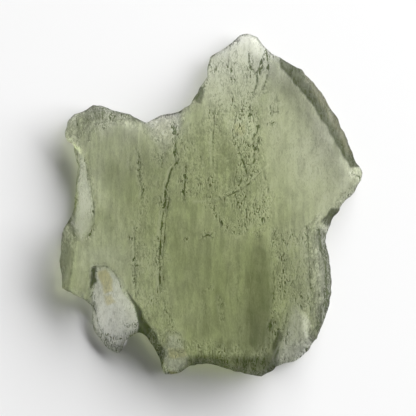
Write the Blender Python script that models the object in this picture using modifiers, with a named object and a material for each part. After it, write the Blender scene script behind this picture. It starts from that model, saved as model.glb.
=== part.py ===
"""A moldavite: a flat shard of natural green glass, broken and etched by the ground it lay in.

The stone is one piece and one solid. It lies on its flatter side, on three broad low swells that are
worn flat. +Y runs to the peak, +Z points up, and the origin is under the middle of its bounding box.

The stone is drawn in millimetres, as it lies. An outline gives its edge all the way round. Over that
outline one height says where the upper skin is and another where the lower skin is. Each height is a
sum of simple forms: broad swells, the fall of the rim, chips, grooves, low ridges and pits.
"""

import random

import bpy
import numpy as np
from mathutils import Vector, noise

# The driving dimension, in metres: from the peak to the foot of the stone.
STONE_LENGTH = 0.038

# Everything below is drawn in millimetres and brought to that length at the end.
SLAB_THICKNESS = 3.2
GRAIN = 0.27  # side of the small faces that the slab is divided into before it is shaped
MOST_TRIANGLES = 9400

# Middle heights of the upper and the lower skin above the ground.
TOP_HEIGHT = 3.9
UNDERSIDE_HEIGHT = 0.22

# The broken edge, clockwise from the peak.
OUTLINE = (
    # the peak and the long bevelled shoulder on the right
    (4.2, 19.0), (5.2, 18.5), (6.0, 17.4), (6.9, 16.6), (8.5, 15.8), (10.0, 14.9), (11.3, 13.6),
    (12.2, 12.5), (13.0, 11.1), (13.9, 9.6), (14.7, 7.9), (15.6, 5.9), (15.9, 4.7),
    # the right corner and the bay under it
    (16.7, 3.6), (16.6, 2.8), (15.7, 1.4), (14.6, 0.2), (14.0, -0.8), (13.4, -1.5), (13.0, -2.5),
    # the rough right flank, down to the chipped corner
    (12.6, -4.0), (12.9, -5.3), (13.2, -7.2), (13.4, -8.8), (13.1, -10.6), (12.5, -12.7),
    (11.6, -14.8), (10.3, -16.7), (9.5, -17.3), (8.2, -17.6), (6.8, -18.2),
    # the foot and the lower edge
    (5.6, -19.0), (4.6, -18.8), (2.7, -18.4), (1.2, -17.9), (-0.1, -17.6), (-1.4, -17.5),
    (-2.7, -18.0), (-3.5, -18.6), (-5.1, -18.8),
    # the bay on the left and the thin lobe beside it
    (-5.5, -17.9), (-5.7, -16.6), (-6.4, -15.7), (-6.9, -14.7), (-7.8, -14.0), (-9.0, -14.7),
    (-9.6, -15.3), (-9.8, -16.1), (-10.4, -16.5), (-11.3, -16.1), (-12.1, -15.3), (-12.8, -14.3),
    (-13.2, -13.2), (-13.0, -11.5), (-13.9, -10.5), (-15.2, -9.8),
    # the left tip and the long left edge
    (-16.4, -9.3), (-16.5, -7.7), (-16.7, -6.2), (-16.5, -4.4), (-16.5, -3.2), (-16.1, -2.3),
    (-15.4, -1.2), (-15.0, 0.1), (-15.0, 2.1), (-14.8, 4.0), (-15.0, 5.5), (-15.2, 6.6),
    # the left shoulder
    (-16.0, 7.3), (-16.1, 8.1), (-15.8, 9.3), (-15.2, 9.9), (-13.9, 10.3), (-13.0, 10.9),
    (-12.1, 10.9), (-11.1, 10.5), (-9.9, 10.1), (-9.0, 9.9), (-8.1, 9.4),
    # the notch and the edge that climbs back to the peak
    (-7.2, 8.9), (-5.9, 9.8), (-4.3, 10.1), (-3.3, 10.3), (-2.2, 11.1), (-1.7, 12.0), (-1.2, 13.1),
    (-0.4, 14.2), (-0.3, 15.5), (0.1, 16.6), (1.4, 17.2), (2.5, 18.1), (3.3, 18.8),
)

# Broad swells and sags of the upper skin: middle, reach across and along, and height.
TOP_SWELLS = (
    ((2.5, -11.0), (7.5, 9.0), 1.00),  # the thick foot
    ((5.3, -8.5), (1.7, 6.5), 0.60),  # the deep green band
    ((9.3, -7.5), (2.8, 5.5), 0.50),  # the swelling above the right flank
    ((-1.0, 2.0), (6.5, 7.0), 0.60),  # the middle
    ((11.5, 7.0), (5.0, 7.5), -1.60),  # the smooth face on the right
    ((2.5, 17.0), (6.5, 7.0), -2.25),  # the thin peak
    ((-11.8, 4.5), (3.8, 6.5), -1.35),  # the left column
    ((-11.5, -5.6), (3.4, 3.8), -1.25),  # the sag under it
)

# Broad swells of the lower skin. The three that go down are what the stone rests on.
UNDERSIDE_SWELLS = (
    ((-9.5, 0.0), (4.2, 4.2), -0.62),
    ((6.5, 8.5), (4.4, 4.4), -0.66),
    ((4.0, -10.5), (4.4, 4.0), -0.66),
    ((-2.0, 3.0), (4.5, 6.0), 0.30),
    ((-6.0, -8.0), (3.5, 4.0), 0.25),
    ((11.5, -3.5), (3.0, 4.0), 0.25),
)

# What the rim does at places round the edge: where, the width that falls away, how far the upper skin
# comes down there and how far the lower skin comes up.
RIM_STATIONS = (
    ((4.2, 19.0), 0.9, 1.0, 0.4),  # peak
    ((8.5, 15.8), 1.1, 1.7, 0.3),  # bevelled shoulder, from here
    ((12.2, 12.5), 2.1, 2.3, 0.2),
    ((14.7, 7.9), 1.6, 2.0, 0.3),  # to here
    ((16.5, 3.3), 0.9, 1.2, 0.5),  # right corner
    ((14.3, -0.3), 0.9, 1.6, 0.6),
    ((12.7, -4.5), 2.0, 2.4, 0.6),  # right flank
    ((13.1, -10.0), 2.3, 2.8, 0.6),
    ((11.0, -15.5), 1.0, 1.3, 0.3),
    ((8.0, -17.7), 0.6, 0.6, 0.2),  # chipped corner
    ((5.0, -18.9), 0.8, 2.3, 0.9),  # foot
    ((-1.0, -17.6), 0.8, 2.7, 1.1),
    ((-4.8, -18.7), 0.8, 1.2, 0.4),
    ((-6.8, -14.8), 1.5, 2.6, 0.4),  # flank above the bay
    ((-10.4, -16.4), 0.6, 0.4, 0.2),  # lobe
    ((-13.1, -12.5), 0.6, 0.4, 0.2),
    ((-15.5, -9.7), 0.8, 1.8, 0.5),
    ((-16.6, -6.2), 1.3, 2.3, 0.7),  # left tip
    ((-16.3, -2.8), 1.0, 1.3, 0.4),
    ((-15.0, 3.0), 0.6, 0.6, 0.3),  # left ledge
    ((-16.0, 8.0), 1.3, 1.8, 0.6),  # left shoulder
    ((-12.5, 10.9), 1.4, 1.6, 0.5),
    ((-7.2, 8.9), 0.8, 0.8, 0.4),  # notch
    ((-4.0, 10.2), 0.8, 0.6, 0.4),
    ((-1.2, 13.1), 0.9, 1.7, 0.3),
    ((0.0, 16.0), 1.0, 1.1, 0.3),
)

# Chips that have broken out of the upper skin: outline, height of the floor at the place named, the
# slope of the floor in X and in Y, and the width of the wall round it.
CHIPS = (
    # the scooped hollow that leaves the thin lobe
    (
        ((-13.1, -6.8), (-11.4, -6.7), (-10.7, -7.2), (-10.0, -8.2), (-9.4, -9.4), (-8.9, -9.9),
         (-8.3, -11.1), (-7.8, -12.5), (-7.2, -14.2), (-7.2, -15.5), (-9.0, -17.6), (-12.2, -17.6),
         (-14.3, -13.8), (-13.6, -10.5), (-13.2, -8.9)),
        (-11.0, -12.0), 1.20, (0.0, 0.035), 0.85,
    ),
    # the ledge along the left edge
    (
        ((-15.8, 6.2), (-14.0, 6.0), (-13.6, 4.4), (-13.2, 2.2), (-12.8, 0.5), (-12.9, -1.2),
         (-13.5, -2.6), (-14.2, -3.9), (-15.1, -3.0), (-16.4, -1.2), (-15.9, 2.7)),
        (-14.0, 2.0), 1.45, (0.10, 0.0), 0.80,
    ),
    # the frosted wedge that runs down from the notch
    (
        ((-7.3, 9.2), (-5.9, 10.8), (-3.2, 11.1), (-2.5, 10.2), (-3.0, 8.2), (-4.3, 6.0),
         (-5.0, 5.1), (-5.9, 6.0), (-6.7, 7.7)),
        (-5.0, 9.0), 1.60, (0.05, -0.42), 0.90,
    ),
    # the chipped lower right corner
    (
        ((8.5, -10.6), (8.2, -12.5), (7.8, -14.4), (7.3, -16.3), (6.5, -17.8), (7.8, -18.7),
         (10.2, -18.2), (11.6, -16.0), (10.7, -13.8), (10.2, -12.5), (9.6, -11.4)),
        (9.0, -15.5), 1.95, (-0.05, 0.22), 0.90,
    ),
    # the pale window beside the foot
    (
        ((-4.8, -14.4), (-3.4, -14.2), (-2.7, -15.5), (-2.3, -17.4), (-3.4, -19.0), (-5.4, -19.0),
         (-5.6, -16.3)),
        (-4.0, -16.5), 2.00, (0.10, 0.10), 0.90,
    ),
)

CHIP_WANDER = 0.35
CHIP_WAVE = 1.6

# Grooves that etching has opened along the flow of the glass: path, width and depth.
GROOVES = (
    (((-5.0, 0.9), (-5.3, -1.2), (-5.5, -3.9), (-5.6, -6.7), (-5.6, -9.4)), 0.32, 0.26),
    (((-7.8, 6.0), (-7.7, 3.3), (-7.5, 1.6)), 0.34, 0.24),
    (((-8.4, -5.0), (-8.3, -10.5)), 0.34, 0.22),
    (((-2.8, 4.4), (-3.0, 0.7)), 0.42, 0.32),
    (((-3.9, 8.8), (-3.9, 4.6)), 0.40, 0.30),
    (((0.2, 9.3), (0.1, 4.9)), 0.38, 0.24),
    (((6.5, 17.0), (6.5, 14.3), (5.6, 12.1)), 0.40, 0.28),
    (((4.0, 15.9), (4.7, 13.7), (5.0, 11.5)), 0.55, 0.34),
    (((5.4, 9.0), (5.1, 6.0), (5.3, 3.8)), 0.60, 0.38),
    (((7.0, -5.6), (7.3, -10.5), (6.7, -13.8)), 0.40, 0.26),
    (((4.1, -5.0), (3.9, -14.5)), 0.45, 0.20),
)

# Low raised seams, where two flows of the melt met.
SEAMS = (
    (((-1.8, 0.3), (0.4, 0.5), (2.6, 1.6), (4.5, 2.9), (6.3, 4.3)), 0.45, 0.22),
    (((2.7, -3.7), (4.3, -2.3), (6.3, -0.2)), 0.42, 0.16),
)

# Etch pits, on both skins and from a fixed seed.
PIT_SEED = 15
TOP_PITS = 95
UNDERSIDE_PITS = 80
PIT_RADIUS = (0.45, 1.15)
PIT_DEPTH = (0.08, 0.24)
PIT_FIELD = ((-16.0, 16.0), (-18.5, 18.5))

# The stone's own unevenness: size of the waves and how far they lift the skin.
LUMP_LENGTH = 5.0
LUMP_HEIGHT = 0.20
FLOW_WIDTH = 1.3
FLOW_LENGTH = 14.0
FLOW_HEIGHT = 0.12
RIM_GRAIN = 1.5
RIM_JITTER = 0.16
RIM_REACH = 1.4

THINNEST = 0.5  # the two skins are never nearer than this
WORN_BELOW = 0.05  # what is lower than this after shaping is worn level with the ground

GLASS_COLOUR = (0.30, 0.36, 0.17, 1.0)
GLASS_ROUGHNESS = 0.12
GLASS_TRANSMISSION = 0.85
GLASS_IOR = 1.49


def soft_step(share):
    """0 below 0, 1 above 1, and a smooth rise between."""
    share = np.clip(share, 0.0, 1.0)
    return share * share * (3.0 - 2.0 * share)


def swell(x, y, middle, reach):
    """A round hill of height 1."""
    across = (x - middle[0]) / reach[0]
    along = (y - middle[1]) / reach[1]
    return np.exp(-(across**2 + along**2))


def distance_to(x, y, path, closed=False):
    """The distance from each point to a path of straight runs."""
    nearest = np.full(len(x), np.inf)
    ends = path[1:] + path[:1] if closed else path[1:]
    for (ax, ay), (bx, by) in zip(path, ends):
        dx = bx - ax
        dy = by - ay
        share = ((x - ax) * dx + (y - ay) * dy) / (dx * dx + dy * dy)
        share = np.clip(share, 0.0, 1.0)
        nearest = np.minimum(nearest, np.hypot(x - ax - share * dx, y - ay - share * dy))
    return nearest


def within(x, y, path):
    """True for each point that lies inside a closed path."""
    inside = np.zeros(len(x), bool)
    for (ax, ay), (bx, by) in zip(path, path[1:] + path[:1]):
        if ay == by:
            continue
        crosses = (ay > y) != (by > y)
        inside ^= crosses & (x < ax + (y - ay) * (bx - ax) / (by - ay))
    return inside


def waves(points, scale, seed):
    """Smooth noise in -1 to 1 at points, with its own length along each axis."""
    shift = Vector((seed * 17.3, seed * 5.1, seed * 11.7))
    scaled = points / np.array(scale)
    return np.array([noise.noise(Vector(point) + shift) for point in scaled])


def rim_at(x, y):
    """Width, upper fall and lower rise of the rim, blended between the stations."""
    total = np.zeros(len(x))
    blended = np.zeros((3, len(x)))
    for place, *values in RIM_STATIONS:
        weight = 1.0 / (np.hypot(x - place[0], y - place[1]) ** 4 + 0.05)
        total += weight
        blended += weight * np.array(values)[:, None]
    return blended / total


def rounded_fall(distance, width):
    """1 at the edge and 0 past the width: half a straight bevel and half a quarter round."""
    left = np.clip(1.0 - distance / width, 0.0, 1.0)
    quarter_round = 1.0 - np.sqrt(1.0 - left * left)
    return 0.5 * left + 0.5 * quarter_round


def pits(x, y, count, seed):
    """The depth of the etch pits: shallow bowls with a clear edge."""
    place = random.Random(seed)
    depth = np.zeros(len(x))
    for _ in range(count):
        middle = (place.uniform(*PIT_FIELD[0]), place.uniform(*PIT_FIELD[1]))
        radius = place.uniform(*PIT_RADIUS)
        deepest = place.uniform(*PIT_DEPTH)
        stretch = place.uniform(0.9, 1.7)  # etching runs along the flow, so a pit is longer in Y
        off = np.hypot(x - middle[0], (y - middle[1]) / stretch) / radius
        depth = np.maximum(depth, deepest * np.clip(1.0 - off**2, 0.0, None))
    return depth


def chipped(points, height):
    """The upper skin with its chips broken out, along edges that wander like a break in glass."""
    x, y = points[:, 0], points[:, 1]
    edge_x = x + CHIP_WANDER * waves(points, (CHIP_WAVE,) * 3, 10)
    edge_y = y + CHIP_WANDER * waves(points, (CHIP_WAVE,) * 3, 11)
    for outline, place, floor, slope, wall in CHIPS:
        level = floor + slope[0] * (x - place[0]) + slope[1] * (y - place[1])
        away = distance_to(edge_x, edge_y, outline, closed=True)
        away = np.where(within(edge_x, edge_y, outline), away, -away)
        share = soft_step(0.5 + away / wall)
        height = height + share * (np.minimum(level, height) - height)
    return height


def top_height(points):
    """Height of the upper skin over each point of the outline."""
    x, y = points[:, 0], points[:, 1]
    flat = points * (1.0, 1.0, 0.0)
    height = np.full(len(x), TOP_HEIGHT)
    for middle, reach, rise in TOP_SWELLS:
        height += rise * swell(x, y, middle, reach)
    height += LUMP_HEIGHT * waves(flat, (LUMP_LENGTH,) * 3, 1)
    height = chipped(flat, height)
    height += FLOW_HEIGHT * waves(flat, (FLOW_WIDTH, FLOW_LENGTH, 1.0), 2)
    for path, width, depth in GROOVES:
        height -= depth * np.exp(-((distance_to(x, y, path) / width) ** 2))
    for path, width, rise in SEAMS:
        height += rise * np.exp(-((distance_to(x, y, path) / width) ** 2))
    height -= pits(x, y, TOP_PITS, PIT_SEED)
    width, fall, _ = rim_at(x, y)
    return height - fall * rounded_fall(distance_to(x, y, OUTLINE, closed=True), width)


def underside_height(points):
    """Height of the lower skin over each point of the outline."""
    x, y = points[:, 0], points[:, 1]
    flat = points * (1.0, 1.0, 0.0)
    height = np.full(len(x), UNDERSIDE_HEIGHT)
    for middle, reach, rise in UNDERSIDE_SWELLS:
        height += rise * swell(x, y, middle, reach)
    height += LUMP_HEIGHT * waves(flat, (LUMP_LENGTH,) * 3, 4)
    height += FLOW_HEIGHT * waves(flat, (FLOW_WIDTH, FLOW_LENGTH, 1.0), 5)
    height += pits(x, y, UNDERSIDE_PITS, PIT_SEED + 1)
    width, _, rise = rim_at(x, y)
    return height + rise * rounded_fall(distance_to(x, y, OUTLINE, closed=True), 1.3 * width)


def after_modifiers(stone):
    """The mesh of an object with its modifiers done, or of a curve filled in."""
    graph = bpy.context.evaluated_depsgraph_get()
    return bpy.data.meshes.new_from_object(stone.evaluated_get(graph))


def vertex_places(mesh):
    places = np.empty(len(mesh.vertices) * 3)
    mesh.vertices.foreach_get("co", places)
    return places.reshape(-1, 3)


def outline_slab():
    """The outline as a flat slab, divided into small even faces all over."""
    curve = bpy.data.curves.new("outline", "CURVE")
    curve.dimensions = "2D"
    curve.fill_mode = "BOTH"
    curve.extrude = SLAB_THICKNESS / 2
    spline = curve.splines.new("POLY")
    spline.use_cyclic_u = True
    spline.points.add(len(OUTLINE) - 1)
    for point, place in zip(spline.points, OUTLINE):
        point.co = (*place, 0.0, 1.0)
    slab = bpy.data.objects.new("outline_slab", curve)
    bpy.context.scene.collection.objects.link(slab)
    remesh = slab.modifiers.new("even faces", "REMESH")
    remesh.mode = "VOXEL"
    remesh.voxel_size = GRAIN
    mesh = after_modifiers(slab)
    bpy.data.objects.remove(slab)
    bpy.data.curves.remove(curve)
    return mesh


def shaped(points):
    """Slab points moved to the stone's skins, each as high between them as it was in the slab."""
    x, y = points[:, 0], points[:, 1]
    share = np.clip(points[:, 2] / SLAB_THICKNESS + 0.5, 0.0, 1.0)
    low = underside_height(points)
    high = np.maximum(top_height(points), low + THINNEST)
    moved = np.column_stack((x, y, low + share * (high - low)))
    near_rim = 1.0 - soft_step(distance_to(x, y, OUTLINE, closed=True) / RIM_REACH)
    for axis in range(3):
        moved[:, axis] += RIM_JITTER * near_rim * waves(moved, (RIM_GRAIN,) * 3, 7 + axis)
    return worn_flat(moved)


def worn_flat(points):
    """The lowest points brought level with the ground, where the stone is worn."""
    level = points.copy()
    level[points[:, 2] < WORN_BELOW, 2] = 0.0
    return level


def thinned(mesh):
    """A lighter mesh that keeps the edges."""
    stone = bpy.data.objects.new("stone", mesh)
    bpy.context.scene.collection.objects.link(stone)
    mesh.calc_loop_triangles()
    thin = stone.modifiers.new("fewer faces", "DECIMATE")
    thin.ratio = MOST_TRIANGLES / len(mesh.loop_triangles)
    thin.use_collapse_triangulate = True
    thin_mesh = after_modifiers(stone)
    bpy.data.objects.remove(stone)
    bpy.data.meshes.remove(mesh)
    return thin_mesh


def to_size(points):
    """Points over the middle of their box and in metres, at the stone's length."""
    nearest = points.min(axis=0)
    furthest = points.max(axis=0)
    middle = (nearest + furthest) / 2
    middle[2] = 0.0
    return (points - middle) * STONE_LENGTH / (furthest[1] - nearest[1])


def glass_material():
    material = bpy.data.materials.new("green_glass")
    material.use_nodes = True
    glass = material.node_tree.nodes["Principled BSDF"]
    glass.inputs["Base Color"].default_value = GLASS_COLOUR
    glass.inputs["Roughness"].default_value = GLASS_ROUGHNESS
    glass.inputs["Metallic"].default_value = 0.0
    glass.inputs["Transmission Weight"].default_value = GLASS_TRANSMISSION
    glass.inputs["IOR"].default_value = GLASS_IOR
    return material


def make_stone(collection):
    """The stone: the slab shaped, thinned to a light mesh, worn flat below and brought to its size."""
    mesh = outline_slab()
    mesh.vertices.foreach_set("co", shaped(vertex_places(mesh)).ravel())
    mesh = thinned(mesh)
    mesh.name = "moldavite"
    mesh.vertices.foreach_set("co", to_size(worn_flat(vertex_places(mesh))).ravel())
    mesh.update()
    mesh.materials.append(glass_material())
    mesh.shade_smooth()
    stone = bpy.data.objects.new("moldavite", mesh)
    collection.objects.link(stone)


def main():
    for old in list(bpy.data.objects):
        bpy.data.objects.remove(old)
    collection = bpy.data.collections.new("Moldavite")
    bpy.context.scene.collection.children.link(collection)
    make_stone(collection)


main()
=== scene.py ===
"""A moldavite on a pale table: the look of the stone, built over its CAD frame."""

# %% [markdown]
# # A moldavite, seen from above
# This script builds the look of one stone: a flat shard of natural green glass, about 38 mm long.
# The CAD model in the frame has its size and its broad shape. Here the same shape is made again
# with much smaller faces, and the glass, the grooves and the frosted breaks are added to it.
# All drawing is done in millimetres, and one number turns it into metres at the end.

import random

import bmesh
import bpy
import numpy as np
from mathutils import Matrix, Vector, noise


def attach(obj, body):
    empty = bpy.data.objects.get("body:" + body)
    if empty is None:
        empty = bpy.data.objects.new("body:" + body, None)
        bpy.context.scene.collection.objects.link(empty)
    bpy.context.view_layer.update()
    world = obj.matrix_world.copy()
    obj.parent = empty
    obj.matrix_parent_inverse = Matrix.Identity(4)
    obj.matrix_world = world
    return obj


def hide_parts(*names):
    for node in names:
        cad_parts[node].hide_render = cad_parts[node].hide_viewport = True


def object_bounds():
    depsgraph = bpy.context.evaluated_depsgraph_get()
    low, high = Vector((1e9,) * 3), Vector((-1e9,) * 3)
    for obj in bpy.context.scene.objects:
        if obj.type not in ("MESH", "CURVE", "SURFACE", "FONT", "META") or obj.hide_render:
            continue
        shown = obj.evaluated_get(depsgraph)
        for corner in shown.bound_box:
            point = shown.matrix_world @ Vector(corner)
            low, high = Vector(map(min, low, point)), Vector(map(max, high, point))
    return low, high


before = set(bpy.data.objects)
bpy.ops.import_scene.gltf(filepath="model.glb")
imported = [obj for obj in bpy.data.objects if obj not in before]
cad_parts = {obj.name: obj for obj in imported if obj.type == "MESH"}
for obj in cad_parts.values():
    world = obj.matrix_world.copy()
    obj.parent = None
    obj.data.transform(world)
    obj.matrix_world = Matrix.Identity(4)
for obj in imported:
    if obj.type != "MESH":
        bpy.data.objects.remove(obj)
CAD_BOX = [[float(number) for number in corner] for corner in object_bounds()]
print("the CAD model fills, in metres:", CAD_BOX)

# %% [markdown]
# ## The outline
# The edge of a flat stone says the most about it, so it comes first. These places were read round
# the stone, in millimetres, clockwise from its peak. Where the edge runs straight, two places are
# enough. Where a chip has left a corner, each corner has its own.

# %% The broken edge
OUTLINE = (
    # the peak and the long bevelled shoulder on the right
    (4.2, 19.0), (5.2, 18.5), (6.0, 17.4), (6.9, 16.6), (8.5, 15.8), (10.0, 14.9), (11.3, 13.6),
    (12.2, 12.5), (13.0, 11.1), (13.9, 9.6), (14.7, 7.9), (15.6, 5.9), (15.9, 4.7),
    # the right corner and the bay under it
    (16.7, 3.6), (16.6, 2.8), (15.7, 1.4), (14.6, 0.2), (14.0, -0.8), (13.4, -1.5), (13.0, -2.5),
    # the rough right flank, down to the chipped corner
    (12.6, -4.0), (12.9, -5.3), (13.2, -7.2), (13.4, -8.8), (13.1, -10.6), (12.5, -12.7),
    (11.6, -14.8), (10.3, -16.7), (9.5, -17.3), (8.2, -17.6), (6.8, -18.2),
    # the foot and the lower edge
    (5.6, -19.0), (4.6, -18.8), (2.7, -18.4), (1.2, -17.9), (-0.1, -17.6), (-1.4, -17.5),
    (-2.7, -18.0), (-3.5, -18.6), (-5.1, -18.8),
    # the bay on the left and the thin lobe beside it
    (-5.5, -17.9), (-5.7, -16.6), (-6.4, -15.7), (-6.9, -14.7), (-7.8, -14.0), (-9.0, -14.7),
    (-9.6, -15.3), (-9.8, -16.1), (-10.4, -16.5), (-11.3, -16.1), (-12.1, -15.3), (-12.8, -14.3),
    (-13.2, -13.2), (-13.0, -11.5), (-13.9, -10.5), (-15.2, -9.8),
    # the left tip and the long left edge
    (-16.4, -9.3), (-16.5, -7.7), (-16.7, -6.2), (-16.5, -4.4), (-16.5, -3.2), (-16.1, -2.3),
    (-15.4, -1.2), (-15.0, 0.1), (-15.0, 2.1), (-14.8, 4.0), (-15.0, 5.5), (-15.2, 6.6),
    # the left shoulder
    (-16.0, 7.3), (-16.1, 8.1), (-15.8, 9.3), (-15.2, 9.9), (-13.9, 10.3), (-13.0, 10.9),
    (-12.1, 10.9), (-11.1, 10.5), (-9.9, 10.1), (-9.0, 9.9), (-8.1, 9.4),
    # the notch and the edge that climbs back to the peak
    (-7.2, 8.9), (-5.9, 9.8), (-4.3, 10.1), (-3.3, 10.3), (-2.2, 11.1), (-1.7, 12.0), (-1.2, 13.1),
    (-0.4, 14.2), (-0.3, 15.5), (0.1, 16.6), (1.4, 17.2), (2.5, 18.1), (3.3, 18.8),
)
print(len(OUTLINE), "places round the edge")

# %% [markdown]
# ## Simple forms to build the skin from
# The upper and the lower skin are each one height over the outline. A height is a sum of simple
# forms, and these few helpers make them: a soft step, a round hill, a ridge, smooth noise and the
# distance to a line. Each takes all points at once, because numpy is quick only with whole arrays.

# %% Steps, hills and noise
SEED_STEP = (17.3, 5.1, 11.7)
FLAT = (1.0, 1.0, 0.0)


def soft_step(share):
    """0 below 0, 1 above 1, and a smooth rise between."""
    share = np.clip(share, 0.0, 1.0)
    return share * share * (3.0 - 2.0 * share)


def swell(x, y, middle, reach):
    """A round hill of height 1."""
    across = (x - middle[0]) / reach[0]
    along = (y - middle[1]) / reach[1]
    return np.exp(-(across**2 + along**2))


def ridge(away, width):
    """1 on a line and less beside it, from the distance to the line."""
    return np.exp(-((away / width) ** 2))


def waves(points, length, seed):
    """Smooth noise in -1 to 1 at points, with one length or its own along each axis."""
    shift = Vector([seed * step for step in SEED_STEP])
    scaled = points / np.array(length)
    return np.array([noise.noise(Vector(point) + shift) for point in scaled])


def wandered(x, y, points, how_far, length, seed):
    """The same places, moved a little by noise, so that a listed line runs unevenly."""
    moved_x = x + how_far * waves(points, length, seed)
    moved_y = y + how_far * waves(points, length, seed + 1)
    return moved_x, moved_y


trial = soft_step(np.array((0.0, 0.25, 0.5, 1.0)))
print("a soft step from 0 to 1:", trial.round(2))


# %% Lines and closed paths
def distance_to(x, y, path, closed=False):
    """The distance from each point to a path of straight runs."""
    nearest = np.full(len(x), np.inf)
    ends = path[1:] + path[:1] if closed else path[1:]
    for (ax, ay), (bx, by) in zip(path, ends):
        dx = bx - ax
        dy = by - ay
        share = ((x - ax) * dx + (y - ay) * dy) / (dx * dx + dy * dy)
        share = np.clip(share, 0.0, 1.0)
        nearest = np.minimum(nearest, np.hypot(x - ax - share * dx, y - ay - share * dy))
    return nearest


def within(x, y, path):
    """True for each point that lies inside a closed path."""
    inside = np.zeros(len(x), bool)
    for (ax, ay), (bx, by) in zip(path, path[1:] + path[:1]):
        if ay == by:
            continue
        crosses = (ay > y) != (by > y)
        inside ^= crosses & (x < ax + (y - ay) * (bx - ax) / (by - ay))
    return inside


def inside_by(x, y, path):
    """How far inside a closed path each point lies; less than 0 outside it."""
    away = distance_to(x, y, path, closed=True)
    return np.where(within(x, y, path), away, -away)


def softly_inside(x, y, path, wall):
    """1 inside a closed path and 0 outside it, with a soft wall between."""
    return soft_step(0.5 + inside_by(x, y, path) / wall)


print("the edge runs", inside_by(np.zeros(1), np.zeros(1), OUTLINE).round(1), "mm from the middle")

# %% [markdown]
# ## The broad shape
# A loose shard like this one is a flow of glass that was bent, worn and broken. So its upper skin
# starts as a level plate, and broad swells raise or lower it. A swell has a middle, a reach to
# each side and a rise. Thick places look deep green and thin ones nearly white, so the swells
# were set by the colour that each place shows.

# %% Swells of the two skins
TOP_HEIGHT = 3.9
UNDERSIDE_HEIGHT = 0.22
THINNEST = 0.5
TOP_SWELLS = (
    ((2.5, -11.0), (7.5, 9.0), 1.00),  # the thick foot
    ((5.3, -8.5), (1.7, 6.5), 0.60),  # the deep green band
    ((9.3, -7.5), (2.8, 5.5), 0.50),  # the swelling above the right flank
    ((-1.0, 2.0), (6.5, 7.0), 0.60),  # the middle
    ((11.5, 7.0), (5.0, 7.5), -1.60),  # the smooth face on the right
    ((2.5, 17.0), (6.5, 7.0), -2.25),  # the thin peak
    ((-11.8, 4.5), (3.8, 6.5), -1.35),  # the left column
    ((-11.5, -5.6), (3.4, 3.8), -1.25),  # the sag under it
)
UNDERSIDE_SWELLS = (
    ((-9.5, 0.0), (4.2, 4.2), -0.62),
    ((6.5, 8.5), (4.4, 4.4), -0.66),
    ((4.0, -10.5), (4.4, 4.0), -0.66),
    ((-2.0, 3.0), (4.5, 6.0), 0.30),
    ((-6.0, -8.0), (3.5, 4.0), 0.25),
    ((11.5, -3.5), (3.0, 4.0), 0.25),
)
print(len(TOP_SWELLS), "swells above and", len(UNDERSIDE_SWELLS), "below")

# %% [markdown]
# ## The rim
# Each stretch of the edge ends in its own way: a long bevel on the right shoulder, a rough round
# flank, a thin lip at the lobe. A station says how wide the rim is at its place, how far the upper
# skin falls there and how far the lower one rises. Between the stations the numbers blend.

# %% Stations round the rim
RIM_STATIONS = (
    ((4.2, 19.0), 0.9, 1.0, 0.4),  # peak
    ((8.5, 15.8), 1.1, 1.7, 0.3),  # bevelled shoulder, from here
    ((12.2, 12.5), 2.1, 2.3, 0.2),
    ((14.7, 7.9), 1.6, 2.0, 0.3),  # to here
    ((16.5, 3.3), 0.9, 1.2, 0.5),  # right corner
    ((14.3, -0.3), 0.9, 1.6, 0.6),
    ((12.7, -4.5), 2.0, 2.4, 0.6),  # right flank
    ((13.1, -10.0), 2.3, 2.8, 0.6),
    ((11.0, -15.5), 1.0, 1.3, 0.3),
    ((8.0, -17.7), 0.6, 0.6, 0.2),  # chipped corner
    ((5.0, -18.9), 0.8, 2.3, 0.9),  # foot
    ((-1.0, -17.6), 0.8, 2.7, 1.1),
    ((-4.8, -18.7), 0.8, 1.2, 0.4),
    ((-6.8, -14.8), 1.5, 2.6, 0.4),  # flank above the bay
    ((-10.4, -16.4), 0.6, 0.4, 0.2),  # lobe
    ((-13.1, -12.5), 0.6, 0.4, 0.2),
    ((-15.5, -9.7), 0.8, 1.8, 0.5),
    ((-16.6, -6.2), 1.3, 2.3, 0.7),  # left tip
    ((-16.3, -2.8), 1.0, 1.3, 0.4),
    ((-15.0, 3.0), 0.6, 0.6, 0.3),  # left ledge
    ((-16.0, 8.0), 1.3, 1.8, 0.6),  # left shoulder
    ((-12.5, 10.9), 1.4, 1.6, 0.5),
    ((-7.2, 8.9), 0.8, 0.8, 0.4),  # notch
    ((-4.0, 10.2), 0.8, 0.6, 0.4),
    ((-1.2, 13.1), 0.9, 1.7, 0.3),
    ((0.0, 16.0), 1.0, 1.1, 0.3),
)
print(len(RIM_STATIONS), "stations round the rim")

# %% [markdown]
# ## The chips
# Five flakes have broken out of the upper side. A chip is a closed path, a place on its floor, the
# height of the floor there, the floor's slope to each side, and the width of its wall. The path
# is bent by smooth noise, because glass doesn't break along straight lines.

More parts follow.
